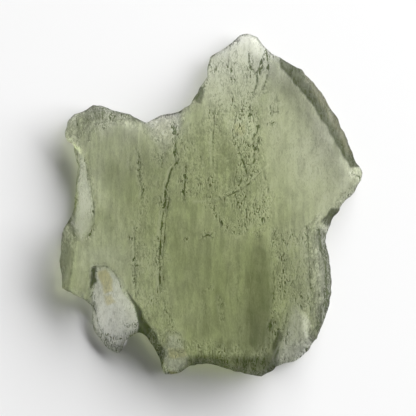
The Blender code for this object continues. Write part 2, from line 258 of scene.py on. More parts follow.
# %% Chips in the upper side
CHIPS = (
    (
        ((-13.1, -6.8), (-11.4, -6.7), (-10.7, -7.2), (-10.0, -8.2), (-9.4, -9.4), (-8.9, -9.9),
         (-8.3, -11.1), (-7.8, -12.5), (-7.2, -14.2), (-7.2, -15.5), (-9.0, -17.6), (-12.2, -17.6),
         (-14.3, -13.8), (-13.6, -10.5), (-13.2, -8.9)),
        (-11.0, -12.0), 1.20, (0.0, 0.035), 0.85,
    ),
    (
        ((-15.8, 6.2), (-14.0, 6.0), (-13.6, 4.4), (-13.2, 2.2), (-12.8, 0.5), (-12.9, -1.2),
         (-13.5, -2.6), (-14.2, -3.9), (-15.1, -3.0), (-16.4, -1.2), (-15.9, 2.7)),
        (-14.0, 2.0), 1.45, (0.10, 0.0), 0.80,
    ),
    (
        ((-7.3, 9.2), (-5.9, 10.8), (-3.2, 11.1), (-2.5, 10.2), (-3.0, 8.2), (-4.3, 6.0),
         (-5.0, 5.1), (-5.9, 6.0), (-6.7, 7.7)),
        (-5.0, 9.0), 1.60, (0.05, -0.42), 1.60,
    ),
    (
        ((8.5, -10.6), (8.2, -12.5), (7.8, -14.4), (7.3, -16.3), (6.5, -17.8), (7.8, -18.7),
         (10.2, -18.2), (11.6, -16.0), (10.7, -13.8), (10.2, -12.5), (9.6, -11.4)),
        (9.0, -15.5), 1.95, (-0.05, 0.22), 0.90,
    ),
    (
        ((-4.8, -14.4), (-3.4, -14.2), (-2.7, -15.5), (-2.3, -17.4), (-3.4, -19.0), (-5.4, -19.0),
         (-5.6, -16.3)),
        (-4.0, -16.5), 2.00, (0.10, 0.10), 0.90,
    ),
)
CHIP_WANDER = (0.35, 1.6, 10)  # how far, how long a wave, and where its noise starts
print(len(CHIPS), "chips")

# %% [markdown]
# ## Etched lines
# Acid in the soil has eaten fine grooves into the glass, mostly along its old lines of flow. The
# larger ones were read: a path, a width, a depth, and how dark the line looks. A curve object for
# each would give hard tubes, so they are cut into the skin as soft furrows instead.

# %% Grooves
# The last number of each groove is how dark the painted shade in it is.
LINES = (
    # wall of the left ledge
    (((-14, 5.2), (-13.6, 4), (-13.4, 2.7), (-13.2, 1.4), (-13, 0.1), (-12.9, -1),
      (-12.9, -1.9), (-13.1, -2.7), (-13.8, -3.7)), 0.13, 0.12, 0.55),
    # the long pair of lines
    (((-5, 0.5), (-5.3, -1.2), (-5.5, -3.4), (-5.6, -5.7), (-5.6, -9.4)), 0.11, 0.10, 1.10),
    (((-4.6, 0.5), (-4.9, -1.5), (-5.1, -3.6), (-5.3, -5.7), (-5.2, -8.3)), 0.10, 0.06, 0.60),
    # from the notch down to them
    (((-4.1, 8.9), (-3.9, 7.7), (-3.9, 6.6), (-3.9, 5.4), (-3.8, 4.6), (-4.3, 3.8),
      (-4.6, 2.9), (-4.9, 1.9), (-5, 0.5)), 0.13, 0.14, 0.95),
    (((-4.9, 2), (-4.9, 0.5), (-5, -0.8)), 0.20, 0.06, 0.55),
    # the short deep groove
    (((-2.8, 4.1), (-2.8, 2.9), (-2.9, 1.8), (-2.9, 0.5)), 0.20, 0.16, 0.85),
    # left of the notch
    (((-8, 5.8), (-7.8, 4.4), (-7.8, 3.1), (-7.6, 1.9), (-7.5, 1.3),
      (-7.6, 0.6)), 0.12, 0.12, 0.70),
    (((-8.8, 5.4), (-8.9, 4.6), (-8.9, 3.8)), 0.10, 0.05, 0.45),
    (((-7.7, 9.3), (-7.5, 8.3), (-7.2, 7.7)), 0.12, 0.06, 0.40),
    (((-5.4, 5.5), (-5.2, 5), (-5.5, 4.1)), 0.12, 0.08, 0.55),
    # beside the thick foot
    (((-8.3, -2.6), (-8.4, -4.1), (-8.3, -5.7), (-8.3, -7.2), (-8.3, -8.9),
      (-8.2, -10.5)), 0.10, 0.10, 0.60),
    (((-8.8, -10.5), (-8.2, -11.9), (-7.6, -13), (-7.2, -13.8)), 0.12, 0.05, 0.40),
    (((-7.2, -9.6), (-6.8, -10.9), (-6.4, -12), (-5.9, -13)), 0.10, 0.05, 0.35),
    (((-6.5, -8.9), (-6.1, -10.2), (-5.4, -11.4), (-5, -12.5)), 0.10, 0.05, 0.35),
    # dashed line under the peak
    (((0.3, 10.2), (0.4, 8.9), (0.2, 7.7), (0.2, 6.3), (0.2, 5.2), (0.2, 3.9)), 0.11, 0.10, 0.60),
    (((0.1, 3.8), (-0.1, 3), (-0.3, 2.6)), 0.09, 0.05, 0.35),
    (((-2.3, 8.9), (-2.2, 8), (-2.2, 7)), 0.08, 0.05, 0.40),
    # on the peak
    (((2, 16.6), (1.9, 15.7), (1.8, 14.8), (1.7, 14.2)), 0.10, 0.08, 0.50),
    (((-0.1, 14.6), (0.2, 14.8), (0.7, 15.2)), 0.09, 0.06, 0.50),
    # the dark vein under the peak
    (((4.2, 16.7), (4.2, 15.7), (4.4, 15), (4.8, 14.6), (5.1, 14), (5.1, 13.3), (4.8, 12.7),
      (4.7, 12)), 0.20, 0.16, 0.95),
    (((5.7, 15.9), (5.4, 15.3), (5.1, 14.7), (4.7, 14.3)), 0.10, 0.08, 0.90),
    (((4.1, 14.8), (4, 14), (4, 13.1)), 0.10, 0.06, 0.45),
    (((5.3, 14.2), (5.5, 14.6), (5.8, 15)), 0.09, 0.05, 0.45),
    # the line down from the bevel
    (((6.1, 17), (6.2, 16.2), (6.3, 15.3), (6.3, 14.4), (6, 13.6), (5.7, 12.7)), 0.12, 0.12, 0.95),
    (((6.5, 16.8), (6.5, 15.9), (6.4, 15.1)), 0.08, 0.05, 0.40),
    (((5.5, 12.4), (5.9, 12.2), (6.3, 12.5), (6.1, 12.9)), 0.09, 0.06, 0.50),
    # the leaf on the right face
    (((7.1, 12.1), (7, 11.2), (6.7, 10.3), (6.7, 9.7)), 0.09, 0.06, 0.50),
    (((7.2, 11.9), (7.4, 11.1), (7.3, 10.2)), 0.10, 0.07, 0.60),
    (((6.5, 10.9), (6.7, 10.3), (6.5, 10)), 0.10, 0.06, 0.60),
    # the chain of pits
    (((5.2, 8.7), (5, 7.9), (4.6, 7.2), (4.7, 6.5), (5, 6)), 0.15, 0.12, 0.95),
    (((5.3, 7.2), (5.1, 6.6), (4.7, 5.9)), 0.10, 0.08, 1.10),
    (((4.7, 5.6), (4.8, 4.9), (4.6, 4.5)), 0.12, 0.08, 1.00),
    (((4.3, 11), (4.3, 10.2), (4.2, 9.3)), 0.10, 0.06, 0.45),
    (((3.4, 9.4), (3.5, 8.7), (3.6, 8.1)), 0.10, 0.05, 0.40),
    # the long curl in the middle
    (((3, 6.3), (3.1, 5.5), (3.5, 4.7), (3.8, 3.8), (4, 2.9), (3.7, 2.3)), 0.12, 0.10, 0.80),
    (((3.5, 6.2), (3.8, 5.7), (4.3, 5.5)), 0.09, 0.06, 0.45),
    (((0.9, 6.5), (1.1, 5.7), (1, 4.9)), 0.09, 0.04, 0.30),
    (((1.6, 4.9), (2.2, 5.1), (2, 4.6)), 0.08, 0.04, 0.40),
    # the dark side of the seam
    (((1.5, 0.8), (2.4, 1.2), (3.3, 1.7), (4, 2.2), (4.4, 2.6)), 0.10, 0.06, 0.60),
    (((3, 1.4), (3.8, 1.9), (4.5, 2.5), (5.2, 3.3), (5.7, 3.8)), 0.09, 0.06, 0.55),
    (((3.3, 2), (4, 2.6), (4.4, 3)), 0.09, 0.05, 0.45),
    # the curl beside the seam
    (((5.6, 4.1), (5.8, 3.4), (6.1, 2.4), (6.4, 1.4), (6.8, 0.7), (7.7, 0.8)), 0.11, 0.08, 0.50),
    (((5.9, 2.3), (6.2, 1.6), (6.3, 1.1)), 0.12, 0.06, 0.55),
    (((8.9, 1.4), (8.9, 0.7), (9, 0.2)), 0.07, 0.04, 0.30),
    # small marks in the middle
    (((0, 0.4), (0.2, 0), (0.5, 0.5)), 0.10, 0.06, 0.45),
    (((-0.9, -3.6), (-0.3, -3.3), (0.2, -3.7)), 0.10, 0.08, 0.60),
    (((-0.7, -3.1), (-0.2, -3.5), (0.2, -3.1)), 0.09, 0.06, 0.55),
    (((7.4, -5.7), (7.6, -6.1), (8, -6.2), (8.4, -5.9)), 0.12, 0.10, 0.70),
    (((7.6, -5.5), (8, -5.8), (8.4, -5.6)), 0.09, 0.06, 0.50),
    (((8.7, -8.7), (9, -8.2), (9.4, -8.3), (9.8, -8.8), (10, -8.7)), 0.10, 0.08, 0.60),
    (((8.8, -8.9), (9.3, -9.1), (9.9, -9.1)), 0.09, 0.05, 0.45),
    (((6.8, -2.6), (7, -3.4), (7.2, -4)), 0.10, 0.08, 0.55),
    (((6.9, -6.3), (6.8, -7.8), (6.8, -9.4), (6.8, -10.9), (6.7, -11.9)), 0.09, 0.08, 0.50),
    (((6.9, -6.8), (7.3, -7.1), (7.2, -7.6)), 0.09, 0.05, 0.45),
    # the broken line in the foot
    (((6.6, -12.5), (6.4, -13.3), (6.4, -13.9)), 0.20, 0.10, 0.70),
    (((6.4, -13.9), (6.3, -14.9), (6.3, -15.7)), 0.10, 0.06, 0.45),
    # the groove beside the corner chip
    (((8.4, -11.9), (8.2, -12.8), (7.9, -13.8), (7.7, -14.6)), 0.11, 0.12, 0.70),
    (((7.7, -14.6), (7.5, -15.4), (7.3, -16.2), (7, -16.8)), 0.28, 0.14, 0.85),
    (((0.9, -10.1), (1, -11.2), (1.2, -12.5)), 0.08, 0.05, 0.45),
    (((-0.9, -9.2), (-0.8, -10.5), (-0.9, -11.9)), 0.08, 0.04, 0.25),
    (((2.9, -6.3), (2.9, -8.3), (2.8, -10.3)), 0.10, 0.04, 0.25),
    # the arch over the hollow
    (((-13, -6.9), (-12.5, -6.8), (-11.8, -6.8), (-11.3, -7), (-10.7, -7.4), (-10.3, -8.1),
      (-9.9, -9)), 0.14, 0.08, 0.60),
    # the gap at the left of the hollow
    (((-13, -7.2), (-12.9, -7.9), (-13, -8.5), (-13.2, -9.2)), 0.22, 0.20, 0.95),
    # the left edge of the lobe
    (((-13.2, -9.5), (-13.1, -10.7), (-12.9, -11.6), (-12.6, -12.4), (-12.4, -13.4),
      (-12, -14.3)), 0.12, 0.08, 0.55),
    # lumps at the end of the lobe
    (((-12, -14.3), (-11.5, -15.1), (-10.9, -15.5), (-10.5, -16)), 0.14, 0.10, 0.75),
    (((-11.4, -14.5), (-10.6, -14.9), (-9.8, -14.8)), 0.10, 0.08, 0.60),
    (((-10.8, -15.4), (-10.2, -15.7), (-9.6, -15.4)), 0.10, 0.08, 0.60),
    (((-11.7, -15.3), (-11.2, -15.9), (-10.5, -16.4)), 0.12, 0.08, 0.60),
    (((-9.3, -13.4), (-8.8, -13.3), (-8.3, -13.7)), 0.09, 0.05, 0.50),
    # the foot of the steep side
    (((-9.2, -9.8), (-8.7, -10.3), (-8.3, -11.1), (-8.1, -12.2), (-7.9, -13.3),
      (-7.4, -14.3)), 0.14, 0.08, 0.90),
    # over the window beside the foot
    (((-5, -14.2), (-4.5, -13.7), (-3.9, -13.9), (-3.4, -14.4)), 0.10, 0.06, 0.50),
    (((-4.6, -16.2), (-4.1, -16), (-3.4, -16.4), (-3, -16.2)), 0.16, 0.06, 0.50),
    (((-3, -14.9), (-2.8, -16), (-2.3, -16.9)), 0.12, 0.06, 0.50),
    # the arcs of the left shoulder
    (((-13.2, 8.1), (-12.7, 8.8), (-11.9, 9.1), (-10.9, 9.3), (-9.8, 9.4),
      (-8.7, 9.5)), 0.13, 0.06, 0.45),
    (((-12.5, 8.5), (-11.8, 8.8), (-11, 8.9)), 0.09, 0.04, 0.35),
    (((-14.8, 9.5), (-14.6, 8.7), (-14.7, 7.7), (-14.9, 6.8)), 0.16, 0.08, 0.60),
    (((-13.4, 8.8), (-13.3, 7.9), (-13.5, 7.1)), 0.12, 0.05, 0.40),
    # the edge of the left tip
    (((-15.2, -4), (-15.2, -5.6), (-15.3, -7.2), (-15.6, -8.8)), 0.16, 0.08, 0.45),
    # between the ledge and the facet
    (((-15.1, -0.4), (-15.1, -1.5), (-15.2, -2.6), (-15, -3.6)), 0.20, 0.10, 0.60),
    # at the right corner
    (((15.4, 3.4), (16, 3.2), (16.5, 3)), 0.12, 0.08, 0.85),
    # left of the peak
    (((-1.7, 11.1), (-1.4, 11.9), (-1.1, 12.7), (-0.7, 13.4)), 0.12, 0.06, 0.60),
    (((-0.4, 14.4), (-0.3, 15.4), (-0.1, 16.2), (0.4, 16.7)), 0.14, 0.06, 0.60),
    # the crease of the bevel
    (((6.1, 17.2), (7, 16.3), (8.2, 14.8), (9, 13.7), (10, 12.7), (10.9, 11.5),
      (12, 10.2)), 0.16, 0.06, 0.55),
    (((12.6, 9.3), (13.2, 8.2), (13.9, 6.9), (14.8, 5.2), (15.8, 3.7)), 0.16, 0.06, 0.45),
    # lines in the right flank
    (((10.5, -2.6), (10.6, -4.2), (10.7, -6.1), (10.8, -7.9), (10.9, -9.9),
      (10.9, -11.9)), 0.16, 0.05, 0.50),
    (((11.8, -2.7), (12, -3.9), (12.1, -5.2), (12.5, -6.6), (12.6, -8.3), (12.7, -10.1),
      (12.6, -11.6)), 0.22, 0.12, 0.80),
    (((11.2, -6.3), (11.6, -7.9), (11.8, -9.6), (11.8, -11.4)), 0.14, 0.06, 0.55),
    (((12.9, -3.9), (13.1, -5.7), (13.2, -7.4)), 0.12, 0.06, 0.60),
)
print(len(LINES), "grooves")

# %% [markdown]
# ## Pits and seams
# A pit is a small round hole whose dark look is painted shade: a place, a radius and its darkness.
# Two seams cross the middle, where two flows of glass have met, each with a painted highlight
# along it. A seam is a path, a width and a low rise.

# %% Dark pits and seams
# The last number of each pit is how dark the painted shade in it is.
DARK_PITS = (
    # under the peak
    ((4.2, 15.6), 0.22, 0.80),
    ((4.4, 15.1), 0.25, 0.80),
    ((5.1, 14.7), 0.20, 0.70),
    ((5.2, 13.6), 0.20, 0.60),
    ((4.8, 12.2), 0.25, 0.60),
    ((0.2, 9.5), 0.20, 0.50),
    ((0.1, 10.1), 0.35, 0.50),
    ((0.8, 10.2), 0.25, 0.50),
    # down the middle
    ((5.1, 8.6), 0.28, 1.00),
    ((4.6, 7.3), 0.25, 0.80),
    ((5.1, 6.9), 0.20, 0.80),
    ((4.8, 6.1), 0.25, 0.90),
    ((4.7, 5.2), 0.25, 0.90),
    ((6.7, 8.9), 0.28, 0.70),
    ((3.2, 2.6), 0.28, 0.95),
    ((3.7, 3.1), 0.18, 0.60),
    ((-1.1, 5.2), 0.15, 0.80),
    ((-1.6, 4.4), 0.14, 0.60),
    ((3.5, 0.0), 0.14, 0.50),
    ((-2.7, -3.8), 0.18, 0.60),
    ((0.1, 6.3), 0.16, 0.60),
    ((0.2, 3.9), 0.15, 0.50),
    ((1.6, 6.0), 0.15, 0.40),
    ((2.7, 3.6), 0.15, 0.50),
    ((1.4, 3.1), 0.15, 0.40),
    ((4.3, 1.6), 0.18, 0.50),
    ((5.2, 1.8), 0.18, 0.45),
    ((0.9, 0.8), 0.15, 0.40),
    # low on the stone
    ((0.0, -9.0), 0.20, 0.45),
    ((1.3, -10.9), 0.15, 0.40),
    ((-8.8, -3.7), 0.16, 0.40),
    ((-10.5, -14.9), 0.12, 0.80),
    ((-10.6, -16.2), 0.20, 0.80),
    # on the right face
    ((8.3, 10.1), 0.12, 0.50),
    ((7.5, 13.5), 0.12, 0.35),
    ((9.6, 7.1), 0.12, 0.20),
)
# Each seam is painted pale along its ridge, as a painted highlight.
SEAMS = (
    (((-1.8, 0.3), (0.4, 0.5), (2.6, 1.6), (4.5, 2.9), (6.3, 4.3)), 0.26, 0.08),
    (((2.7, -3.7), (4.3, -2.3), (6.3, -0.2)), 0.26, 0.08),
)
print(len(DARK_PITS), "dark pits and", len(SEAMS), "seams")

# %% [markdown]
# ## Zones of the skin
# The skin isn't the same all over. It is etched in the middle, frosted where a flake has broken
# off, deeper green where the glass is thick, painted with dark shade on its steep bevels, flanks
# and rims, where light gets in badly, tan where soil has stained it, and grainy where it is
# crushed. A zone is a closed path, the width of its soft edge and its strength.

# %% Etched zones
ETCHED = (
    # the middle
    (((-4.3, 7.7), (0.4, 10.2), (5.6, 10.7), (6.1, 1.6), (2.6, -1.5), (-3.9, 0.5)), 1.5, 0.5),
    # the chain under the peak
    (((1.9, 15.9), (5.6, 15.9), (5.6, 10.4), (5.2, 6), (5.6, 2.9), (3.8, 2.2), (3.2, 7.1),
      (2.1, 10.4)), 0.8, 0.9),
    # the peak
    (((0.1, 14.3), (2.3, 17.3), (5.6, 15.7), (6.3, 10.2), (0.4, 9.9)), 1, 0.4),
    # below the seam
    (((-0.7, 0.5), (4.3, 2.2), (7, 0.5), (5.6, -3.9), (1.2, -3)), 1, 0.55),
    # along the long lines
    (((-5.9, 7.1), (-4, 7.1), (-4.5, -10.5), (-6.1, -13.8), (-8.7, -13.8),
      (-8.7, 0.5)), 1, 0.35),
    # towards the right flank
    (((6.3, -2.8), (12.6, -2.3), (13.1, -12.7), (9.8, -16), (6.5, -16)), 1, 0.5),
    # the left shoulder
    (((-16, 11), (-7.3, 10.6), (-6.7, 9.1), (-15, 7.1)), 0.6, 0.8),
    # left of the foot
    (((-8.4, -9.4), (-4.5, -10.5), (-3.4, -16), (-5.6, -18.8), (-7.8, -13.8)), 0.8, 0.6),
    # the lobe and the left ledge
    (((-12.7, -8), (-10.8, -8.5), (-8.8, -11.5), (-8.8, -14), (-10.5, -16.4),
      (-12.8, -13.5)), 0.6, 0.2),
    (((-15, 6.5), (-13.9, 4.9), (-13.2, -0.2), (-13.9, -3.9), (-15.2, -3.9),
      (-15.2, 4.4)), 0.4, 0.25),
    # the notch
    (((-7.3, 9), (-4.9, 10.4), (-3.2, 10.5), (-3.9, 7), (-5.2, 5), (-6.6, 7.5)), 0.4, 0.35),
    # the smooth face on the right
    (((6.3, 15.5), (9.8, 12), (15, 3.5), (12, 0), (7.6, 0.5), (6, 5)), 0.8, 0.18),
    # above the lower edge
    (((-5.1, -14.4), (6.5, -15.5), (5.9, -17.7), (-4.5, -17.1)), 0.8, 0.6),
)
print(len(ETCHED), "etched zones")

# %% Frosted zones
FROSTED = (
    # the notch
    (((-7.5, 9.1), (-6, 10.2), (-4.9, 10.5), (-3.7, 10.9), (-3, 10.2), (-3.3, 8.4), (-4, 6.9),
      (-4.8, 5.8), (-5.2, 4.9), (-5.9, 6), (-6.7, 7.5)), 0.5, 1),
    # the lobe
    (((-12.7, -7.3), (-11.8, -7), (-10.8, -7.9), (-10, -9.4), (-9.2, -10.2), (-8.3, -11.9),
      (-8, -13.8), (-9.2, -14.1), (-9.6, -15.5), (-10.5, -16.4), (-11.8, -15.3), (-12.8, -13),
      (-13.1, -10.5), (-12.8, -9)), 0.5, 1),
    # the chipped corner
    (((8.5, -12), (10.5, -12), (10.9, -13.8), (10.5, -15.6), (9.6, -16.7), (8, -17.4),
      (7.2, -17.8), (7.7, -16), (8, -14.4)), 0.5, 0.6),
    # its broken end
    (((7.9, -15.6), (9.4, -15.4), (10.6, -14.7), (10.5, -16), (9.4, -17), (7.8, -17.6),
      (6.9, -17.9)), 0.3, 1),
    # the left ledge
    (((-15, 6.5), (-14, 4.9), (-13.6, 2.7), (-13.1, 0), (-13.1, -2.1), (-14, -3.9), (-14.8, -3.9),
      (-15, -1.2), (-15, 1.6), (-15.1, 4.4)), 0.5, 0.9),
    # the facet below it
    (((-16.6, -3.2), (-16.1, -2.4), (-15.5, -1.8), (-15.3, -2.8), (-15.9, -4.2),
      (-16.4, -3.9)), 0.2, 1),
    # lumps on the left shoulder
    (((-16, 8.2), (-15.3, 9.8), (-14.6, 10.2), (-14.7, 8.8), (-14.9, 7.1), (-15.6, 6.7),
      (-16, 7.3)), 0.4, 0.8),
    # the tip of the peak
    (((1.2, 17), (2.2, 18.1), (3.4, 19), (4.8, 18.9), (4.5, 18), (3.2, 17.5), (2.2, 17)), 0.4, 1),
    # windows beside the foot
    (((-5.1, -14.2), (-3.9, -13.9), (-3, -14.7), (-2.9, -16), (-3.8, -16.3),
      (-4.6, -16)), 0.4, 1),
    (((-4.6, -16.9), (-2.8, -16.8), (-2.4, -17.8), (-3.7, -18.2), (-4.8, -17.9)), 0.4, 0.7),
    # the right flank
    (((10.8, -5), (11.8, -5.7), (12.1, -7.2), (12.1, -9.2), (11.2, -9.2),
      (10.8, -7.2)), 0.5, 0.9),
    (((12.1, -2.3), (12.9, -2.8), (13.2, -4.6), (12.8, -5), (12.2, -3.9)), 0.3, 1),
    # the thin peak
    (((-0.5, 14), (1.6, 17.3), (5.6, 17.7), (6.3, 15.9), (5.6, 12.6), (5, 10.9), (1.5, 10.4),
      (-0.7, 11.3)), 1.2, 0.75),
    # the smooth face on the right
    (((6.3, 15.9), (8, 14.2), (9.8, 12), (11.8, 9.1), (13.8, 5.8), (15.3, 2.9), (14.4, 1.2),
      (12, -0.2), (9.6, -0.8), (7.6, 0.2), (6.3, 2.2), (5.6, 4.9), (5.8, 9.3),
      (6.3, 12.1)), 1.4, 0.6),
    # the lower left
    (((-14.7, -4.6), (-13.1, -5), (-10, -4.5), (-9.2, -6.3), (-9.6, -8.9), (-10.5, -7),
      (-11.8, -6.3), (-13.4, -6.6), (-14.2, -8.8), (-14.9, -8.3)), 0.9, 0.5),
)
print(len(FROSTED), "frosted zones")

# %% Deep green zones and painted shade on steep sides
# The bevel, the flanks, the edges, the left tip, the gap, the facet and the rims are painted
# shade. The deep band, the thick foot, the green middle and the middle of the left column are
# deeper green glass.
DEEP_AND_SHADED_ZONES = (
    # the bevelled shoulder
    (((6.2, 17.2), (7.8, 16.5), (9.8, 15.2), (11.6, 13.2), (12.9, 11.1), (14, 9.2), (15.1, 6.6),
      (16.1, 3.8), (15.3, 4), (14.2, 5.9), (13, 8), (11.7, 10.1), (10.4, 12), (9, 13.6),
      (7.7, 15.2)), 0.3, 1.0),
    # below the right corner
    (((16.8, 3), (16.4, 1.6), (15, 0), (13.7, -1.4), (12.7, -2.6), (12.1, -1.9), (13.2, -0.5),
      (14.8, 0.7), (15.9, 2)), 0.35, 0.9),
    # the right flank
    (((12, -2.6), (12.8, -3.9), (13.2, -6.3), (13.4, -8.9), (13, -11.1), (12.3, -13.3),
      (11.5, -15.2), (10.8, -14.7), (11.5, -12.5), (12.1, -10.5), (12.2, -8.3), (12, -5.6),
      (11.5, -3.5)), 0.7, 0.95),
    # the lower edge
    (((-2.8, -17.1), (-1.2, -16.3), (1, -16.5), (3.7, -16.8), (5.6, -16.5), (7.3, -16), (7, -17.6),
      (5.6, -19.1), (3.8, -18.8), (1, -18.2), (-1.2, -17.8)), 0.9, 0.86),
    # the steep side above the bay
    (((-9.2, -9.8), (-8.3, -10.7), (-7.6, -11.9), (-7, -13), (-6.2, -14.1), (-5.4, -15.4),
      (-5, -16.7), (-5.2, -18.9), (-6, -17.4), (-6.7, -15.8), (-7.5, -14.6), (-8, -13.4),
      (-8.2, -11.9)), 0.35, 1),
    # the left tip
    (((-16.7, -4.2), (-15.7, -3.9), (-15.2, -5), (-15.3, -7.2), (-15.5, -8.8), (-14.7, -9.8),
      (-15.7, -9.5), (-16.7, -8.8), (-16.9, -6.3)), 0.5, 0.42),
    # the gap in the hollow
    (((-13.2, -7), (-12.7, -7), (-12.7, -8.3), (-13.1, -9.3), (-13.4, -8.7)), 0.3, 0.9),
    # the facet left of the peak
    (((-1.8, 11.1), (-1.4, 12.3), (-0.7, 13.6), (-0.7, 12.4), (-1, 11.2)), 0.3, 0.7),
    # the rim of the left shoulder
    (((-14, 10.2), (-12.7, 11), (-10.9, 10.4), (-9.4, 10), (-7.6, 9.4), (-7.1, 8.8), (-8.1, 8.7),
      (-9.4, 9.3), (-11.2, 9.4), (-12.7, 9), (-13.8, 8.4)), 0.6, 0.45),
    (((-16.4, 7.6), (-16, 8.9), (-15.6, 9.8), (-15.3, 9.3), (-15.8, 8), (-15.3, 6.9),
      (-15.6, 6.3)), 0.3, 0.6),
    # the deep band
    (((5.4, -3.0), (6.2, -5.4), (6.8, -9.0), (6.8, -13.5), (5.8, -16.0), (4.0, -15.5),
      (3.5, -11.5), (3.9, -7.5), (4.7, -4.6)), 1.4, 0.42),
    # the thick foot
    (((-1.2, -9.4), (3.2, -8.3), (4.3, -10.5), (4.3, -15.5), (1, -16), (-1.7, -14.9)), 1.6, 0.11),
    # the green middle above it
    (((-4.5, -2.5), (1.0, -3.0), (4.5, -4.5), (4.5, -9.0), (-1.5, -9.5), (-4.8, -9.5)), 2.0, 0.09),
    # the dark middle of the left column
    (((-12.0, 5.4), (-9.0, 5.8), (-8.4, 2.9), (-10, 1.2), (-12.0, 2.0)), 1.6, 0.13),
    # beside the corner chip
    (((7.3, -13.6), (7.8, -13.9), (7.4, -15.4), (6.9, -16.9), (6.4, -16.6),
      (6.8, -15)), 0.3, 0.75),
)
print(len(DEEP_AND_SHADED_ZONES), "deep green zones")

# %% Tan zones
TAN = (
    # the tan spot
    (((2.6, 8.8), (3.7, 8.9), (3.8, 8), (3.3, 7.5), (2.6, 7.8)), 0.5, 0.5),
    # in the hollow
    (((-12.5, -7.4), (-11.6, -7.2), (-11.0, -8.4), (-10.9, -9.7), (-11.8, -9.8),
      (-12.3, -8.8)), 0.4, 1),
    (((-12.0, -9.9), (-11.0, -10.0), (-10.6, -10.9), (-11.6, -11.2)), 0.4, 0.9),
    # the lower bevel
    (((9.5, 15.5), (11.8, 12.8), (13.4, 10.4), (14.4, 8.2), (15.9, 5.0), (15.1, 5.6), (13.6, 8.6),
      (12.2, 11.2), (10.6, 13.4), (9.0, 15.1)), 0.5, 0.08),
    # beside the foot
    (((-4.8, -16), (-3, -15.9), (-2.5, -16.7), (-3.9, -17), (-4.8, -16.8)), 0.4, 0.7),
    (((-4.8, -18.2), (-3.3, -18.2), (-3.4, -18.8), (-4.5, -18.8)), 0.3, 0.9),
    # the notch
    (((-6.7, 9.5), (-5, 10.2), (-3.9, 9.5), (-4.5, 7.1), (-5.6, 7.1)), 0.8, 0.25),
)
print(len(TAN), "tan zones")

# %% Grainy zones
GRAINY = (
    # the notch
    (((-7.7, 9.3), (-6, 10.4), (-2.9, 11.1), (-2.8, 9.8), (-3.7, 7.1), (-4.8, 5.6), (-5.4, 5.8),
      (-6.7, 7.5)), 0.5, 0.9),
    # the end of the lobe
    (((-12.7, -12.7), (-12, -14.3), (-10.9, -14.5), (-9.3, -13.8), (-9.4, -15.6), (-10.5, -16.6),
      (-11.8, -15.5), (-12.9, -13.6)), 0.4, 0.7),
    # the right flank
    (((10.1, -2.4), (11.6, -1), (13.1, -2.1), (13.6, -7.2), (13.3, -10.5), (11.6, -15.4),
      (10.5, -14.9), (10.8, -10.5), (10.2, -6.3)), 0.6, 0.9),
    # the broken corner
    (((6.9, -18), (7.8, -15.8), (10.5, -14.7), (10.7, -16), (9.4, -17.3)), 0.4, 0.9),
    # the left shoulder
    (((-16.4, 7.6), (-15.8, 10), (-14, 10.9), (-12.7, 11.2), (-9.8, 10.2), (-7.3, 9.3),
      (-8.1, 8.4), (-11.8, 8.9), (-14, 8), (-14.7, 6.5), (-15.6, 6.2)), 0.5, 0.7),
    # beside the left ledge
    (((-15.6, -0.2), (-14.8, -0.2), (-14.7, -3.9), (-15.6, -4.6), (-16.7, -3.9),
      (-16.7, -2.6)), 0.4, 0.9),
    # the bevel
    (((6.1, 17.3), (8.2, 16.3), (9.8, 15.3), (14.2, 9.3), (16.2, 3.6), (15.3, 3.1), (13.3, 6.6),
      (9.8, 12.4), (7.6, 15.1)), 0.3, 0.12),
    # under the peak
    (((-0.7, 10.4), (3.2, 11.1), (5.6, 10.4), (6.1, 1.6), (3.2, 0), (-0.7, 0.5), (-3.4, 1.1),
      (-3.4, 4.9)), 1.5, 0.35),
    # beside the foot
    (((-6.7, -13.8), (-4.8, -13.6), (-2.3, -15.5), (-1.7, -17.4), (-5.2, -19.1),
      (-6.5, -16)), 0.5, 0.6),
    # the lower edge
    (((-2.3, -16.3), (7.2, -16), (6.9, -18), (5.6, -19.4), (-2.3, -17.8)), 0.6, 0.5),
)
print(len(GRAINY), "grainy zones")

# %% [markdown]
# ## Reading the zones
# Some zones reach the broken edge. Their outer places are first moved a little off the stone, so
# that the soft edge of the zone doesn't fade just where the rim is darkest.


# %% Strength of a zone at each point
EDGE_PLACE = 0.5
OFF_THE_STONE = 1.2
NEXT_PLACE = 0.05
NOT_ZERO = 1e-6


def past_the_edge(path):
    """The same zone, with its places on the stone's edge moved a little off the stone."""
    x, y = np.array(path, float).T
    in_x = inside_by(x + NEXT_PLACE, y, OUTLINE) - inside_by(x - NEXT_PLACE, y, OUTLINE)
    in_y = inside_by(x, y + NEXT_PLACE, OUTLINE) - inside_by(x, y - NEXT_PLACE, OUTLINE)
    length = np.maximum(np.hypot(in_x, in_y), NOT_ZERO)
    off = np.where(inside_by(x, y, OUTLINE) < EDGE_PLACE, OFF_THE_STONE, 0.0)
    return tuple(zip(x - off * in_x / length, y - off * in_y / length))


def zones_at(x, y, zones):
    """1 inside the zones and 0 outside, with soft edges, times each zone's own strength."""
    share = np.zeros(len(x))
    for outline, feather, strength in zones:
        inside = softly_inside(x, y, past_the_edge(outline), feather)
        share = np.maximum(share, strength * inside)
    return share


share = zones_at(np.array((-5.0, 10.0)), np.array((8.0, -2.0)), FROSTED)
print("frost in the notch and on the flank:", share.round(2))

# %% [markdown]
# ## Small marks that come by chance
# Hundreds of shallow bowls and ripples are too many to read by hand. Random numbers place the
# bowls, from a fixed start, so the stone is the same each time. The ripples are smooth noise that
# is stretched along the stone, as its flow lines are.

